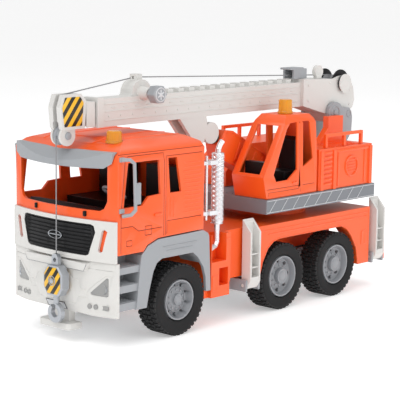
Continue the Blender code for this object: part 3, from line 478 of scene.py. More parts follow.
def finish(name, slot, colour, roughness=0.4, grain=900.0, bump=0.06, rub=0.35, cloud=0.06,
           spread=0.12, **shader_values):
    """A material that runs its colour and gloss through the two groups."""
    material = bpy.data.materials.new(name)
    material.use_nodes = True
    tree = material.node_tree
    shader = tree.nodes["Principled BSDF"]
    for key, value in shader_values.items():
        shader.inputs[key.replace("_", " ")].default_value = value
    surface = node(tree, "Group", {"node_tree": GRAIN}, Grain=grain, Roughness=roughness,
                   Spread=spread)
    handled = node(tree, "Group", {"node_tree": HANDLED}, Colour=(*colour, 1.0), Rub=rub,
                   Cloud=cloud)
    relief = node(tree, "Bump", Strength=bump, Distance=0.0004)
    link(tree,
         (surface.outputs["Roughness"], shader.inputs["Roughness"]),
         (surface.outputs["Height"], relief.inputs["Height"]),
         (relief.outputs["Normal"], shader.inputs["Normal"]),
         (handled.outputs["Colour"], shader.inputs["Base Color"]))
    return material


ORANGE = finish("orange_moulding", "orange_plastic", (0.96, 0.112, 0.012), 0.36, Coat_Weight=0.12,
                Coat_Roughness=0.25)
WHITE = finish("white_moulding", "white_plastic", (0.69, 0.68, 0.655), 0.38, rub=0.2)
GREY = finish("light_grey_plastic", "grey_plastic", (0.34, 0.355, 0.375), 0.42)
DECK_GREY = finish("deck_grey_plastic", "grey_plastic", (0.20, 0.21, 0.23), 0.45)
RIM_GREY = finish("rim_grey_plastic", "grey_plastic", (0.29, 0.30, 0.32), 0.36)
SILVER = finish("silver_paint", "grey_plastic", (0.42, 0.44, 0.47), 0.3, Metallic=0.55)
DARK = finish("dark_plastic", "black_plastic", (0.007, 0.007, 0.008), 0.4, rub=0.08,
              Specular_IOR_Level=0.22)
RUBBER = finish("tyre_rubber", "black_rubber", (0.018, 0.018, 0.019), 0.72, 400.0, 0.35, 0.25, 0.3,
                Specular_IOR_Level=0.25)
AMBER = finish("amber_lens_plastic", "amber_lens", (0.95, 0.42, 0.015), 0.16, bump=0.02,
               Transmission_Weight=0.35)
SMOKE = finish("smoked_lens_plastic", "smoked_lens", (0.52, 0.52, 0.51), 0.1, bump=0.02,
               Transmission_Weight=0.45)
CHROME = finish("bright_plating_finish", "bright_plating", (0.78, 0.78, 0.80), 0.26, bump=0.02,
                rub=0.0, Metallic=0.8)
STEEL = finish("drawn_steel", "steel", (0.5, 0.51, 0.53), 0.3, Metallic=1.0)
PALE = finish("pale_print", "white_plastic", (0.62, 0.63, 0.65), 0.5, rub=0.0)
# A dark orange used only for thin bars of painted shade inside the door grooves.
SHADOW = finish("shadow_line", "orange_plastic", (0.30, 0.035, 0.008), 0.6, rub=0.0)

# %% [markdown]
# The warning plates carry slanting bars. A bar is a place where the height minus a multiple of
# the distance along has the right remainder, so one small chain of arithmetic on the object's
# coordinates draws them on the side of the boom's head and on the front of the hook block.

# %% Warning bars
BAR_PITCH = 15.5 * MM
BAR_SLOPE = 1.3


def warning_bars():
    material = finish("warning_bars", "black_plastic", (0.9, 0.5, 0.02), 0.32, rub=0.15)
    tree = material.node_tree
    where = node(tree, "TexCoord")
    split = node(tree, "SeparateXYZ")
    along = node(tree, "Math", {"operation": "ADD"})
    level = node(tree, "Math", {"operation": "MULTIPLY_ADD"})
    level.inputs[1].default_value = -BAR_SLOPE
    count = node(tree, "Math", {"operation": "DIVIDE"})
    count.inputs[1].default_value = BAR_PITCH
    part = node(tree, "Math", {"operation": "FRACT"})
    dark = node(tree, "Math", {"operation": "GREATER_THAN"})
    dark.inputs[1].default_value = 0.5
    by, first, second, out = mix_colour(tree)
    second.default_value = (0.014, 0.013, 0.012, 1.0)
    link(tree,
         (where.outputs["Object"], split.inputs[0]), (split.outputs["X"], along.inputs[0]),
         (split.outputs["Y"], along.inputs[1]), (along.outputs[0], level.inputs[0]),
         (split.outputs["Z"], level.inputs[2]), (level.outputs[0], count.inputs[0]),
         (count.outputs[0], part.inputs[0]), (part.outputs[0], dark.inputs[0]),
         (dark.outputs[0], by))
    shader = tree.nodes["Principled BSDF"]
    handled = shader.inputs["Base Color"].links[0].from_socket
    link(tree, (handled, first), (out, shader.inputs["Base Color"]))
    return material


WARNING = warning_bars()

# %% [markdown]
# ## The rope
# The rope is one braided cord: it leaves the top of the winch drum, runs under the guide and
# through the eye on the gearbox, passes the head and drops to the hook block. It is taut, so
# each run is straight or bends once. Each is drawn as a curve with thickness and made a mesh.

# %% Rope runs
ROPE_RADIUS = 0.7
BOOM_X = 10.0
PIVOT_Z = 227.5
SHEAVE_Y, SHEAVE_Z = -455.0, 5.0
ROPE_Y = -249.8
rope_finish = finish("braided_rope", "grey_rope", (0.30, 0.30, 0.31), 0.6, 2600.0, 0.6, 0.0, 0.2)


def between(a, b, count):
    a, b = Vector(a), Vector(b)
    return [a.lerp(b, i / count) for i in range(count + 1)]


def rope(name, points, place, bodies, node_name):
    """A cord along points in millimetres, which stands for its CAD solid."""
    obj = wire(name, [points], ROPE_RADIUS, 3)
    obj.data.transform(place)
    obj.data.materials.append(rope_finish)
    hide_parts(node_name)
    if len(bodies) == 1:
        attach(obj, bodies[0])
    else:
        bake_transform(obj)
    return obj


rope_top = PIVOT_Z + SHEAVE_Z + SHEAVE_Y * math.sin(BOOM_TILT)
rope("rope_to_hook", between((BOOM_X, ROPE_Y, rope_top), (BOOM_X, ROPE_Y, 100.4), 20), CARRIER,
     ("hanging_rope", "block"), "rope_hoist")
rope("rope_along_boom", between((0, 19, 47.3), (0, -50, 50), 8)[:-1]
     + between((0, -50, 50), (0, -335.4, 62), 20), BOOM, ("boom",), "rope_upper")
rope("rope_to_head", between((0, -352.6, 61.6), (0, -458, 48.6), 16), BOOM,
     ("boom", "telescope"), "rope_front")

# %% [markdown]
# ## Tyres
# A truck tyre is a thick ring with rounded shoulders and rows of rubber blocks. I start from
# a cylinder, inset and open its two ends, bridge the hole, round the shoulders, and then spin
# copies of four small blocks around it. The six tyres are copies of two such rings, because
# the front rims are a little smaller than the rear ones.

# %% Tyres
TYRE_RADIUS = 41.0
TYRE_WIDTH = 29.2
TREAD = 1.7
SIDEWALL_RADIUS = 36.0
BEAD = 2.6
SHOULDER = 2.6
LUGS = 40
WHEEL_X = 67.6


def tyre(name, hole):
    body = disc(name, (0, 0, 0), TYRE_RADIUS - TREAD, TYRE_WIDTH, "X", 64)
    choose(body, facing("X"))
    bpy.ops.mesh.inset(thickness=(TYRE_RADIUS - TREAD - SIDEWALL_RADIUS) * MM)
    bpy.ops.mesh.inset(thickness=(SIDEWALL_RADIUS - hole - BEAD) * MM, depth=-0.5 * MM)
    bpy.ops.mesh.inset(thickness=BEAD * MM, depth=-1.4 * MM)
    bpy.ops.mesh.delete(type="FACE")
    bpy.ops.mesh.select_mode(type="EDGE")
    bpy.ops.mesh.select_all(action="DESELECT")
    bpy.ops.mesh.select_non_manifold()
    bpy.ops.mesh.bridge_edge_loops()
    bpy.ops.mesh.select_all(action="SELECT")
    bpy.ops.mesh.normals_make_consistent(inside=False)
    leave_editing()
    round_edges(body, SHOULDER, 3, 50)
    return body


def tread_blocks(name):
    """Two rows of shoulder blocks and two middle rows, staggered."""
    blocks = []
    pitch = 2 * math.pi / LUGS
    for x, width, turn in ((10.2, 6.6, 0.0), (-10.2, 6.6, 0.0), (3.3, 5.4, 0.5), (-3.3, 5.4, 0.5)):
        lug = block("lug", (x - width / 2, -2.2, TYRE_RADIUS - TREAD - 0.8),
                    (x + width / 2, 2.2, TYRE_RADIUS - 0.05))
        choose(lug, facing("Z", 1))
        bpy.ops.transform.resize(value=(0.88, 0.8, 1.0))
        leave_editing()
        lug.data.transform(Matrix.Rotation(turn * pitch, 4, "X"))
        blocks.append(repeated_round(lug, LUGS, (0, 0, 0), (1, 0, 0)))
    blocks = joined(*blocks)
    blocks.name = name
    return blocks


wheels = {"front_axle": (-129.0, 23.3), "rear_axle_1": (54.0, 25.3), "rear_axle_2": (160.0, 25.3)}
tread = tread_blocks("tread")
tyre_model = {hole: tyre(f"tyre_model_{hole}", hole) for hole in (23.3, 25.3)}


def wheel_copy(model, name, side, axle_y):
    """The left wheel's piece, turned round for the right side, at its axle."""
    obj = model.copy()
    obj.data = model.data.copy()
    obj.name = name
    scene.collection.objects.link(obj)
    turn = Matrix.Identity(4) if side == "left" else Matrix.Rotation(math.pi, 4, "Z")
    across = WHEEL_X if side == "left" else -WHEEL_X
    obj.data.transform(Matrix.Translation(Vector((across, axle_y, TYRE_RADIUS)) * MM) @ turn)
    return obj


for axle, (axle_y, hole) in wheels.items():
    for side in ("left", "right"):
        rubber = joined(wheel_copy(tyre_model[hole], "tyre", side, axle_y),
                        wheel_copy(tread, "tread_copy", side, axle_y))
        rubber.name = f"{axle}_{side}_treaded_tyre"
        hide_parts(f"{axle}_tyre_{side}")
        finished(rubber, axle, RUBBER)
for model in (tread, *tyre_model.values()):
    bpy.data.objects.remove(model)
print("six tyres with", LUGS * 4, "blocks each")

# %% [markdown]
# ## Rims
# The front rims have ten slots near the edge and ten nuts, the rear rims have eight round
# holes and a fat hub. The CAD rim has the right dish, so I take a connected copy of it, cut
# the holes through, and add the hub and the nuts.

# %% Rims
def rim_hole(kind, angle):
    """A cutter through the rim's disc at an angle round the axle."""
    if kind == "front":
        cutter = disc("slot_cutter", (0, 0, 16.6), 1.7, 60, "X", 12)
        choose(cutter, lambda centre, normal: normal.z > 0.3)
        bpy.ops.transform.translate(value=(0, 0, 2.6 * MM))
        leave_editing()
    else:
        cutter = disc("hole_cutter", (0, 0, 18.2), 2.7, 60, "X", 18)
    cutter.data.transform(Matrix.Rotation(angle, 4, "X"))
    return cutter


def rim(axle, kind, axle_y):
    body = copy_of(f"{axle}_rim_left")
    body.data.transform(Matrix.Translation(Vector((-WHEEL_X, -axle_y, -TYRE_RADIUS)) * MM))
    count = 10 if kind == "front" else 8
    cut_away(body, joined(*[rim_hole(kind, 2 * math.pi * i / count) for i in range(count)]))
    round_edges(body, 0.25, 2, 40)
    if kind == "front":
        nut = disc("nut", (7.3, 0, 11.0), 1.5, 2.6, "X", 6)
        nuts = repeated_round(round_edges(nut, 0.3), 10, (0, 0, 0), (1, 0, 0))
        hub = disc("hub", (9.0, 0, 0), 6.2, 5.2, "X", 28)
        sink(hub, facing("X", 1), 1.2, 0.8)
        sink(hub, lambda centre, normal: normal.x > 0.9 and centre.length < 20
             and abs(centre.y) < 1 and abs(centre.z) < 1, 1.6, -1.2)
        lip = ring("nut_circle", (7.6, 0, 0), 14.2, 0.5, "X")
    else:
        nut = disc("nut", (7.8, 0, 13.0), 0.9, 1.6, "X", 6)
        nuts = repeated_round(nut, 10, (0, 0, 0), (1, 0, 0))
        hub = disc("hub", (10.2, 0, 0), 9.2, 7.2, "X", 32)
        sink(hub, facing("X", 1), 1.6, 0.9)
        lip = ring("hub_foot", (7.4, 0, 0), 10.4, 0.8, "X")
    round_edges(hub, 0.4)
    body = joined(body, nuts, hub, lip)
    body.name = f"{kind}_rim_model"
    return body


for kind, group in (("front", ("front_axle",)), ("rear", ("rear_axle_1", "rear_axle_2"))):
    model = rim(group[0], kind, wheels[group[0]][0])
    for axle in group:
        for side in ("left", "right"):
            copy = wheel_copy(model, f"{axle}_{side}_pierced_rim", side, wheels[axle][0])
            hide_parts(f"{axle}_rim_{side}")
            finished(copy, axle, RIM_GREY)
    bpy.data.objects.remove(model)
print("rims done")

# %% [markdown]
# ## The driver's cab
# On the moulding, the doors and the rear panel are marked by fine grooves. I cut them into a
# copy of the cab with thin round bars laid along the lines, so they catch the light as real
# grooves do, and a thinner dark bar in each groove stands for the shade of an open gap. The
# ribs on the cab's sides and roof and the wiper stubs are added on top.

# %% Cab shell
SIDE = 82.5
door = [(-222.5, 106), (-222.5, 150), (-217, 206), (-213, 210), (-159, 210), (-157, 200),
        (-157, 118)]
belt = [(-222, 134), (-205, 134), (-196, 128), (-160, 128)]
rear_panel = [(-154, 118), (-154, 206), (-96, 206)]
roof_line = [(-226, 212.3), (-93, 212.3)]
hatch = [(-214, 113), (-206, 113), (-206, 119), (-214, 119), (-214, 113)]
lock = [(-186, 122), (-176, 122), (-176, 132), (-186, 132), (-186, 122)]
skirt = [(-152, 119.5), (-152, 134), (-96, 134)]
routes = [[(sign * SIDE, y, z) for y, z in line]
          for line in (door, belt, rear_panel, hatch, lock, skirt) for sign in (1, -1)]
routes += [[(sign * (SIDE - 1.2), y, z) for y, z in roof_line] for sign in (1, -1)]
cab = cut_away(copy_of("cab_shell"), wire("door_lines", routes, 0.65, 1))
round_edges(cab, 0.5, 2, 38)
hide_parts("cab_shell")
cab.name = "cab_with_door_lines"
finished(cab, "carrier", ORANGE)
# Thin dark bars sunk in the grooves: painted shade of the door gaps.
gap_shade_routes = [[(x - math.copysign(0.45, x), y, z) for x, y, z in route] for route in routes]
finished(wire("door_gap_shade", gap_shade_routes, 0.35, 1), "carrier", SHADOW)

ribs = []
for sign in (1, -1):
    near, far = SIDE - 0.6, SIDE + 0.3
    rib = side_block("rib", sign, near, far, (-125, 140), (-97, 141.2))
    ribs.append(repeated(round_edges(rib, 0.2), 13, (0, 0, 4.6)))
    bead = side_block("bead", sign, near, far, (-151, 137), (-149.8, 160))
    ribs.append(repeated(round_edges(bead, 0.2), 3, (0, 4.6, 0)))
finished(joined(*ribs), "carrier", ORANGE).name = "cab_side_ribs"

roof = [(-214, 219.5), (-190, 225), (-130, 226.5), (-101, 224)]
roof_routes = [[(x, y, min(z, limit)) for y, z in roof] for x, limit in
               ((-28, 227), (28, 227), (-50, 224.4))]
roof_routes += [[(50, -186, 224.4), (50, -130, 224.4), (50, -101, 223.9)],
                [(-28, -196, 223.6), (28, -196, 223.6)], [(-28, -112, 225), (28, -112, 225)]]
finished(wire("roof_ribs", roof_routes, 0.7, 2), "carrier", ORANGE)

stubs = []
for x in (-36, 42):
    post = block("stub", (x - 1.6, -241.6 + abs(x) * 0.06, 144), (x + 1.6, -234, 149.6))
    sink(post, facing("Y", -1), 0.5, -0.5)
    stubs.append(round_edges(post, 0.4))
finished(joined(*stubs), "carrier", DARK).name = "wiper_stubs"

# %% [markdown]
# ## Grille, badge and bumper
# The grille's bars follow the bowed nose, so the gaps between them are cut by bars bent along
# the same curve. The badge on the real toy belongs to its maker, so a plain oval stands there.

# %% Grille
BOW = 12.5
GRILLE_FRONT = -242.6
BUMPER_FRONT = -241.7
LAMP_FRONT = -241.6


def bowed(x, front, bow=BOW):
    """Where the bowed nose stands at some distance beside its middle."""
    return front + bow * (x / SIDE) ** 2


def bowed_line(front, half, z, bow=BOW):
    """Points along the bowed nose at one height."""
    xs = [half * (i / 8 - 1) for i in range(17)]
    return [(x, bowed(x, front, bow), z) for x in xs]


gaps = [bowed_line(GRILLE_FRONT, 52 - abs(z - 126) * 0.12, z) for z in range(106, 135, 4)]
grille = cut_away(copy_of("grille"), wire("grille_gaps", gaps, 0.85, 2))
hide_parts("grille")
grille.name = "ribbed_grille"
finished(grille, "carrier", DARK)

frame_line = [(-50, 104.5), (-55.6, 128), (-53.5, 133.5), (53.5, 133.5), (55.6, 128), (50, 104.5)]
rim_route = [(x, bowed(x, GRILLE_FRONT - 0.2), z)
             for (x0, z0), (x1, z1) in zip(frame_line, frame_line[1:] + frame_line[:1])
             for x, z in ((x0 + (x1 - x0) * i / 10, z0 + (z1 - z0) * i / 10) for i in range(10))]
finished(wire("grille_rim", [rim_route + rim_route[:1]], 0.55, 2), "carrier", DARK)

badge = ring("plain_badge", (0, GRILLE_FRONT - 0.5, 119.5), 7.0, 0.45, "Y", 40)
badge.data.transform(Matrix.Translation((0, 0, 119.5 * MM)) @ Matrix.Diagonal((1.5, 1, 0.62, 1))
                     @ Matrix.Translation((0, 0, -119.5 * MM)))
bar = block("badge_bar", (-9, GRILLE_FRONT - 0.9, 119.0), (9, GRILLE_FRONT + 0.1, 120.0))
finished(joined(badge, round_edges(bar, 0.3)), "carrier", SILVER).name = "plain_oval_badge"

# %% Bumper and its lamps
steps = [[(x * sign, bowed(x, BUMPER_FRONT), z)
          for x, z in ((2, 80), (20, 80), (26, 73), (33, 73), (37, 64), (44, 64), (46, 55),
                       (34, 55), (30, 47), (24, 47))] for sign in (1, -1)]
steps.append(bowed_line(BUMPER_FRONT + 0.7, 78, 87.5, bow=12.4))
brow = [[(x * sign, bowed(x, BUMPER_FRONT), z) for x, z in
         ((44, 58), (48, 65), (70, 82), (78, 82))] for sign in (1, -1)]
bumper = cut_away(copy_of("bumper"), wire("bumper_lines", steps + brow, 0.5, 1))
round_edges(bumper, 0.7, 2, 40)
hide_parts("bumper")
bumper.name = "stepped_bumper"
finished(bumper, "carrier", WHITE)
# A thin dark grey bar round the flap is painted shade under the flap's edge.
flap_shade_line = [(-50, -242.9, 93.2), (-46, -243.2, 85), (46, -243.2, 85), (50, -242.9, 93.2)]
finished(wire("flap_gap_shade", [flap_shade_line], 0.3, 1), "carrier", DECK_GREY)

lamps = []
for sign in (1, -1):
    for x in (49.5, 57.5):
        bezel = disc("lamp", (sign * x, bowed(x, LAMP_FRONT + 0.4), 46.2), 2.9, 3.0, "Y", 20)
        sink(bezel, facing("Y", -1), 0.5, 0.6)
        lamps.append(round_edges(bezel, 0.2))
    lens_y = bowed(68.5, LAMP_FRONT)
    lens = side_block("lamp", sign, 63, 74, (lens_y - 0.9, 43.8), (lens_y + 2.2, 48.4))
    sink(lens, facing("Y", -1), 0.6, 0.5)
    lamps.append(round_edges(lens, 0.3))
finished(joined(*lamps), "carrier", SMOKE).name = "low_lamps"

reflectors = []
for sign in (1, -1):
    bowl = disc("bowl", (sign * 66.5, -232.6, 66.5), 5.0, 1.6, "Y", 24)
    sink(bowl, facing("Y", -1), 0.8, 0.9)
    reflectors.append(bowl)
LEAN = math.atan2(5.1, 10)
number_plate = block("number_plate", (-16, -0.5, -4.2), (14, 0.5, 4.2))
sink(number_plate, facing("Y", -1), 0.8, 0.2)
plate_line = [(-16.2, -4.4), (-16.2, 4.4), (14.2, 4.4), (14.2, -4.4), (-16.2, -4.4)]
plate_rim = wire("plate_rim", [[(x, -0.3, z) for x, z in plate_line]], 0.35, 2)
for part, material in ((round_edges(number_plate, 0.25), PALE), (plate_rim, DARK)):
    part.data.transform(Matrix.Translation(Vector((0, -239.5, 41.2)) * MM)
                        @ Matrix.Rotation(LEAN, 4, "X"))
    finished(part, "carrier", material)
finished(joined(*reflectors), "carrier", SILVER).name = "lamp_bowls"
print("nose done")

# %% [markdown]
# ## The boom
# The outer tube carries raised lines and a row of rivet heads along its sides. From here on
# these pieces are counted along the boom, so they ride with it when it luffs.

# %% Boom trim
strips = []
for sign in (1, -1):
    for z, height in ((17.6, 0.9), (27.4, 1.2), (35.6, 1.4)):
        strip = side_block("strip", sign, 11.7, 12.6, (-404, z), (-66, z + height))
        strips.append(round_edges(strip, 0.3))
    rivet = disc("rivet", (sign * 12.1, -398, 22.6), 1.1, 1.2, "X", 12)
    strips.append(repeated(round_edges(rivet, 0.35), 18, (0, 18.4, 0)))
    dash = side_block("dash", sign, 11.7, 12.7, (-394, 31.4), (-387, 32.2))
    strips.append(repeated(round_edges(dash, 0.25), 18, (0, 18.4, 0)))
boom_trim = joined(*strips)
boom_trim.name = "boom_lines_and_rivets"
finished(boom_trim, "boom", WHITE, BOOM)

bolts = []
for sign in (1, -1):
    for y, z in ((-50, 18), (-50, 38), (-4, 38), (38, 28), (38, 8), (-4, -7)):
        bolts.append(round_edges(disc("bolt", (sign * 17.2, y, z), 1.7, 1.6, "X", 6), 0.3))
    cover = disc("pivot_cover", (sign * 17.6, 0, 0), 7.4, 1.4, "X", 28)
    sink(cover, facing("X", sign), 1.4, 0.5)
    bolts.append(round_edges(cover, 0.3))
finished(joined(*bolts), "boom", WHITE, BOOM).name = "boom_heel_bolts"

# %% Warning plates on the boom's head
head_outline = [(-464.5, 35.5), (-460.5, 46.5), (-439, 46.5), (-434, 40), (-436.5, 15),
                (-461.5, 15)]
plates = [round_edges(plate("head_plate", head_outline, "YZ", low, high), 0.2)
          for low, high in ((9.8, 10.6), (-10.6, -9.8))]
finished(joined(*plates), "telescope", WARNING, BOOM).name = "head_warning_plates"

pins = []
for sign in (1, -1):
    cap = disc("sheave_pin_cap", (sign * 8.4, SHEAVE_Y, SHEAVE_Z), 4.2, 1.8, "X", 20)
    sink(cap, facing("X", sign), 1.0, -0.8)
    pins.append(round_edges(cap, 0.25))
finished(joined(*pins), "telescope", GREY, BOOM).name = "sheave_pin_caps"

# %% Extension knob's face
KNOB_Y, KNOB_Z = -344, 44.8
face_ring = ring("knob_ring", (39.1, KNOB_Y, KNOB_Z), 7.6, 0.7, "X", 36)
spoke = block("spoke", (38.8, -344.9, 45.0), (39.9, -343.1, 50.4))
spokes = repeated_round(round_edges(spoke, 0.25), 6, (0, KNOB_Y, KNOB_Z), (1, 0, 0))
button = round_edges(disc("button", (39.4, KNOB_Y, KNOB_Z), 2.2, 1.2, "X", 20), 0.3)
finished(joined(face_ring, spokes, button), "extension_drive", PALE, BOOM).name = "knob_star"

# %% Winch windings and reel cap
WINCH_Y, WINCH_Z = 22, 37
winding = ring("winding", (-9.4, WINCH_Y, WINCH_Z), 9.7, ROPE_RADIUS, "X", 40, 8)
windings = repeated(winding, 14, (1.45, 0, 0))
finished(windings, "winch", rope_finish, BOOM).name = "rope_on_the_drum"
cap = disc("reel_cap", (21.6, WINCH_Y, WINCH_Z), 12.2, 2.0, "X", 40)
sink(cap, facing("X", 1), 1.6, 0.5)
sink(cap, lambda centre, normal: normal.x > 0.9 and abs(centre.y - WINCH_Y) < 0.5
     and abs(centre.z - WINCH_Z) < 0.5, 3.4, -0.9)
finished(round_edges(cap, 0.25), "winch", WHITE, BOOM).name = "reel_cap"

# %% Rope eye in front of the winch
boss = disc("eye_boss", (9.5, -22, 54), 8.2, 6, "X", 32)
sink(boss, facing("X", 1), 3.2, 1.6)
stand = block("eye_stand", (6.5, -27, 44.5), (12.5, -17, 50))
finished(joined(round_edges(boss, 0.5), round_edges(stand, 0.5)), "boom", WHITE, BOOM).name = "eye"

# %% Rings on the bracket
collars = []
for x in (33.4, -13.4):
    collars.append(ring("pivot_ring", (x, 215, PIVOT_Z), 8.4, 0.8, "X", 36))
    collars.append(round_edges(disc("pivot_nut", (x, 215, PIVOT_Z), 4.0, 2.0, "X", 6), 0.4))
    collars.append(ring("lobe_ring", (x, 244, 224.5), 4.2, 0.6, "X", 28))
    for y, z in ((206, 190), (214, 160), (214, 146)):
        collars.append(round_edges(disc("bolt", (x, y, z), 1.6, 1.4, "X", 6), 0.3))
finished(joined(*collars), "superstructure", GREY).name = "bracket_rings"

# %% [markdown]
# ## The luffing ram
# Its housing is a moulded shell with a rim round each side, and the rod has a collar. They
# are counted along the ram, from the pin in the cradle.

# %% Ram trim
RAM = (CARRIER @ Matrix.Translation(Vector((BOOM_X, 120, 152)) * MM)
       @ Matrix.Rotation(math.atan2(-64, 133), 4, "X"))
shell_line = [(-4, -8), (-10, -10), (-60, -19), (-116, -19), (-126, -8), (-124, 10.5), (-112, 15),
              (-30, 12.2), (4, 7.5), (8, 4), (8, -3), (-4, -8)]
ram_trim = [wire("ram_rim", [[(x, y, z) for y, z in shell_line] for x in (11.0, -11.0)], 0.7, 2)]
for x in (11.1, -11.1):
    for y in (-46, -62, -78, -94):
        ram_trim.append(round_edges(block("ram_rib", (x - 0.6, y, -14), (x + 0.6, y + 5, 9)), 0.4))
finished(joined(*ram_trim), "ram", ORANGE, RAM).name = "ram_shell_ribs"
wiper = ring("rod_collar", (0, -129, 0), 6.6, 0.9, "Y", 32)
finished(wiper, "ram", DARK, RAM).name = "rod_wiper"

# %% [markdown]
# ## Hook block
# The block shows the same slanting bars as the head, on a plate let into each face.

# %% Hook block plates
BLOCK_Z = 71
corners = ((-7.4, -14.6), (-12.6, -7), (-12.6, 7), (-6.6, 14.6), (6.6, 14.6), (12.6, 7),
           (12.6, -7), (7.4, -14.6))
faces = []
for low, high in ((ROPE_Y - 6.5, ROPE_Y - 5.8), (ROPE_Y + 5.8, ROPE_Y + 6.5)):
    face = plate("block_plate", [(BOOM_X + a, BLOCK_Z + b) for a, b in corners], "XZ", low, high)
    faces.append(round_edges(face, 0.2))
finished(joined(*faces), "block", WARNING).name = "block_warning_plates"
axle = []
for y in (ROPE_Y - 6.9, ROPE_Y + 6.9):
    nut = round_edges(disc("nut", (BOOM_X, y, BLOCK_Z), 3.6, 1.8, "Y", 6), 0.4)
    axle += [nut, ring("washer", (BOOM_X, y, BLOCK_Z), 5.0, 0.5, "Y", 28)]
finished(joined(*axle), "block", SILVER).name = "block_axle_nuts"

# %% [markdown]
# ## Upper works
# The turntable deck has slanting tread lines on its edges. The operator's cab gets a door seam
# with a thin bar of painted shade in it, the engine house a ladder of ribs, pilasters and a
# plain round louvre on each side.

# %% Deck edge
treads = [[(sign * SIDE, y, 122), (sign * SIDE, y + 14, 137.2)]
          for sign in (1, -1) for y in range(24, 222, 22)]
edge = [[(sign * SIDE, 20, z), (sign * SIDE, 237, z)] for sign in (1, -1) for z in (122.6, 136.6)]
finished(wire("deck_treads", treads + edge, 0.4, 1), "superstructure", PALE)
studs = disc("deck_stud", (-74, 30, 138.4), 1.3, 1.2, "Z", 4)
studs = repeated(repeated(round_edges(studs, 0.2), 17, (9.25, 0, 0)), 2, (0, -7.4, 0))
finished(studs, "superstructure", DECK_GREY).name = "deck_grip_studs"

# %% Operator's cab
OUTER = 80.0
seam_lines = ([(86, 142), (84, 172), (82, 228)], [(22, 150), (85, 150)],
              [(25, 142), (25, 146), (82, 146)], [(90, 150), (114, 150)])
seam = [[(OUTER, y, z) for y, z in line] for line in seam_lines]
operator_cab = cut_away(copy_of("operator_cab"), wire("seams", seam, 0.45, 1))
round_edges(operator_cab, 0.6, 2, 30)
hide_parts("operator_cab")
operator_cab.name = "operator_cab_with_door"
finished(operator_cab, "superstructure", ORANGE)
# Thin dark bars in the seams: painted shade of the door gap.
gap_shade_routes = [[(x - 0.3, y, z) for x, y, z in route] for route in seam]
finished(wire("operator_door_gap_shade", gap_shade_routes, 0.3, 1), "superstructure", SHADOW)
handle = round_edges(block("handle", (79.6, 70, 153.2), (81.6, 79, 155.6)), 0.6)
ledge = round_edges(block("ledge", (31, 17.2, 163.4), (79, 19.4, 166)), 0.5)
finished(joined(handle, ledge), "superstructure", ORANGE).name = "operator_cab_handle"

# %% Engine house
details = []
for sign in (1, -1):
    rung = side_block("rung", sign, 79.6, 82.0, (131, 145), (147, 147.4))
    details.append(repeated(round_edges(rung, 0.5), 8, (0, 0, 5.6)))
    for y in (160, 216):
        pilaster = side_block("pilaster", sign, 79.6, 80.9, (y, 141), (y + 3.2, 188))
        details.append(round_edges(pilaster, 0.5))
    details.append(ring("louvre_rim", (sign * 80.4, 189.5, 165), 12.5, 1.3, "X", 44))
    slat = side_block("slat", sign, 79.6, 80.9, (180.5, 157.4), (198.5, 159))
    details.append(repeated(round_edges(slat, 0.3), 5, (0, 0, 3.6)))
    cornice = side_block("cornice", sign, 79.4, 81.6, (157, 184.4), (224, 187.6))
    details.append(round_edges(cornice, 0.6))
grid = block("roof_slat", (46, 160, 190.2), (74, 162, 191.4))
details.append(repeated(round_edges(grid, 0.3), 9, (0, 6.5, 0)))
grid = block("rear_slat", (-52, 232.6, 146), (52, 233.9, 148))
details.append(repeated(round_edges(grid, 0.3), 4, (0, 0, 6)))
finished(joined(*details), "superstructure", ORANGE).name = "engine_house_ribs"
print("upper works done")

# %% [markdown]
# ## Lower body, steps and outriggers
# A lip runs round the wheel arch, the steps have a tread pattern, and each outrigger leg
# carries ribs and the heads of its hinge pin.

# %% Lower body
arch = [(4.6, 36), (6, 41), (13.4, 64.6), (22.8, 80), (33.4, 87.2), (45, 89.7), (168.8, 89.7),
        (181.4, 84.2), (190.6, 74.6), (202, 57.6), (205.5, 42), (206, 36)]
bars = [[(sign * 82.2, y, z) for y, z in arch] for sign in (1, -1)]
bars += [[(sign * 82.2, y0, 101.5), (sign * 82.2, y1, 101.5)] for sign in (1, -1)
         for y0, y1 in ((-50, -46), (8, 228))]
bars += [[(sign * 82.3, 24, 96.5), (sign * 82.3, 222, 96.5)] for sign in (1, -1)]
finished(wire("arch_lip", bars, 0.9, 2), "carrier", ORANGE)

boxes = []
for sign in (1, -1):
    for y, z in ((212, 60), (-76, 42)):
        lid = side_block("lid", sign, 81.8, 83.2, (y, z), (y + 10, z + 18))
        sink(lid, facing("X", sign), 1.6, 0.5)
        boxes.append(round_edges(lid, 0.3))
finished(joined(*boxes), "carrier", ORANGE).name = "side_lids"

# %% Step treads
grips = []
for sign in (1, -1):
    for z in (90, 70, 50.5):
        rib = side_block("tread_rib", sign, 60, 61.2, (-221, z - 0.2), (-192, z + 0.7))
        grips.append(repeated(round_edges(rib, 0.2), 6, (sign * 3.4, 0, 0)))
    for y0, y1, z in ((-158, -104, 104.5), (-152, -110, 99.5)):
        line = side_block("arch_line", sign, 82.0, 83.2, (y0, z), (y1, z + 1.2))
        grips.append(round_edges(line, 0.3))
finished(joined(*grips), "carrier", GREY).name = "step_treads"

# %% Outrigger ribs and pins
for place, (y0, y1) in {"front": (-15.6, 3.4), "rear": (237.6, 256.6)}.items():
    for side, sign in (("left", 1), ("right", -1)):
        parts = []
        for z in (60.5, 76.5):
            rib = side_block("rib", sign, 77.4, 86.4, (y0 + 2, z), (y1 - 2, z + 1.6))
            parts.append(round_edges(rib, 0.3))
        for y in (y0, y1):
            parts.append(round_edges(disc("pin", (sign * 83.6, y, 41.5), 1.9, 1.2, "Y", 16), 0.3))
        for y in (y0 + 1.0, y1 - 2.6):
            edge = side_block("edge", sign, 87.6, 88.6, (y, 46), (y + 1.6, 88))
            parts.append(round_edges(edge, 0.3))
        leg = joined(*parts)
        leg.name = f"outrigger_ribs_{place}_{side}"
        finished(leg, f"outrigger_leg_{place}_{side}", WHITE)

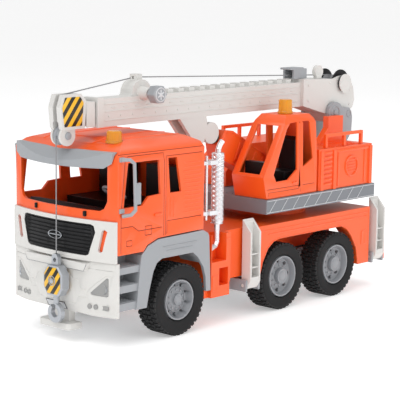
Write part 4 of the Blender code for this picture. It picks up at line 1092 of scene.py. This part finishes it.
# %% Exhaust
PIPE_X, PIPE_Y = 74, -60
rows = []
for turn, z in ((0.0, 123.5), (math.pi / 8, 126.3)):
    stud = disc("stud", (PIPE_X + 6.7, PIPE_Y, z), 2.5, 1.4, "X", 4)
    choose(stud, facing("X", 1))
    bpy.ops.transform.resize(value=(1, 0.35, 0.35))
    leave_editing()
    stud.data.transform(Matrix.Translation(Vector((PIPE_X, PIPE_Y, 0)) * MM)
                        @ Matrix.Rotation(turn, 4, "Z")
                        @ Matrix.Translation(Vector((-PIPE_X, -PIPE_Y, 0)) * MM))
    ringed = repeated_round(stud, 8, (PIPE_X, PIPE_Y, 0), (0, 0, 1))
    rows.append(repeated(ringed, 14, (0, 0, 5.6)))
bands = [ring("band", (PIPE_X, PIPE_Y, z), 6.7, 0.7, "Z", 32) for z in (119.8, 200.2)]
finished(joined(*rows, *bands), "carrier", CHROME).name = "exhaust_shield_studs"

# %% Mirror feet and door pulls
small = []
for sign in (1, -1):
    for z in (150, 205):
        foot = side_block("mirror_foot", sign, 82.2, 84.4, (-226, z), (-219, z + 5))
        small.append(round_edges(foot, 0.6))
    back = side_block("mirror_back", sign, 95.8, 97.0, (-213.6, 161), (-207.4, 182))
    small.append(round_edges(back, 0.5))
finished(joined(*small), "carrier", GREY).name = "mirror_feet"

pulls = []
for sign in (1, -1):
    pull = side_block("door_pull", sign, 82.0, 84.0, (-172, 141.4), (-161, 144.4))
    pulls.append(round_edges(pull, 0.7))
finished(joined(*pulls), "carrier", ORANGE).name = "door_pulls"

# %% [markdown]
# ## The pieces that keep their CAD shape
# These get a finish, a weld that closes their split corners and a small rounding on every
# edge, all as modifiers, so the CAD mesh below stays as it was.

# %% Dress the rest
def dress(material, *names, width=0.4, angle=38):
    for name in names:
        piece = frame["nodes"][name]
        piece.data.materials.clear()
        piece.data.materials.append(material)
        weld = piece.modifiers.new("weld", "WELD")
        weld.merge_threshold = 1e-5
        bevel = piece.modifiers.new("rounding", "BEVEL")
        bevel.width = width * MM
        bevel.segments = 2
        bevel.limit_method = "ANGLE"
        bevel.angle_limit = math.radians(angle)
        bevel.harden_normals = False
    print(material.name, "on", len(names), "pieces")


dress(ORANGE, "lower_body", "engine_housing", "handrail_left", "handrail_right", "ram_housing",
      "ram_cradle", "rear_bumper")
dress(GREY, "chassis_frame", "step_fender_left", "step_fender_right", "sun_visor",
      "mirror_rail_left", "mirror_rail_right", "boom_bracket", "rope_guide", "head_sheave",
      "extension_knob", "steering_wheel")
dress(DECK_GREY, "turret_deck")
dress(SILVER, "hook_block", "hook")
dress(WHITE, "boom_outer", "boom_inner", "boom_head", "grille_surround", "ram_rod",
      "outrigger_front_left", "outrigger_front_right", "outrigger_rear_left",
      "outrigger_rear_right")
dress(DARK, "cab_interior", "operator_interior", "winch_drum")
dress(AMBER, "cab_beacon", "operator_beacon", width=0.3)
dress(SMOKE, "headlight_left", "headlight_right")
dress(CHROME, "exhaust_stack", width=0.25)
dress(STEEL, "front_axle_shaft", "rear_axle_1_shaft", "rear_axle_2_shaft", width=0.2)

# %% [markdown]
# ## Pieces made
# The script ends by printing how many new pieces it made.

# %% Pieces made
print(len(made), "pieces made")
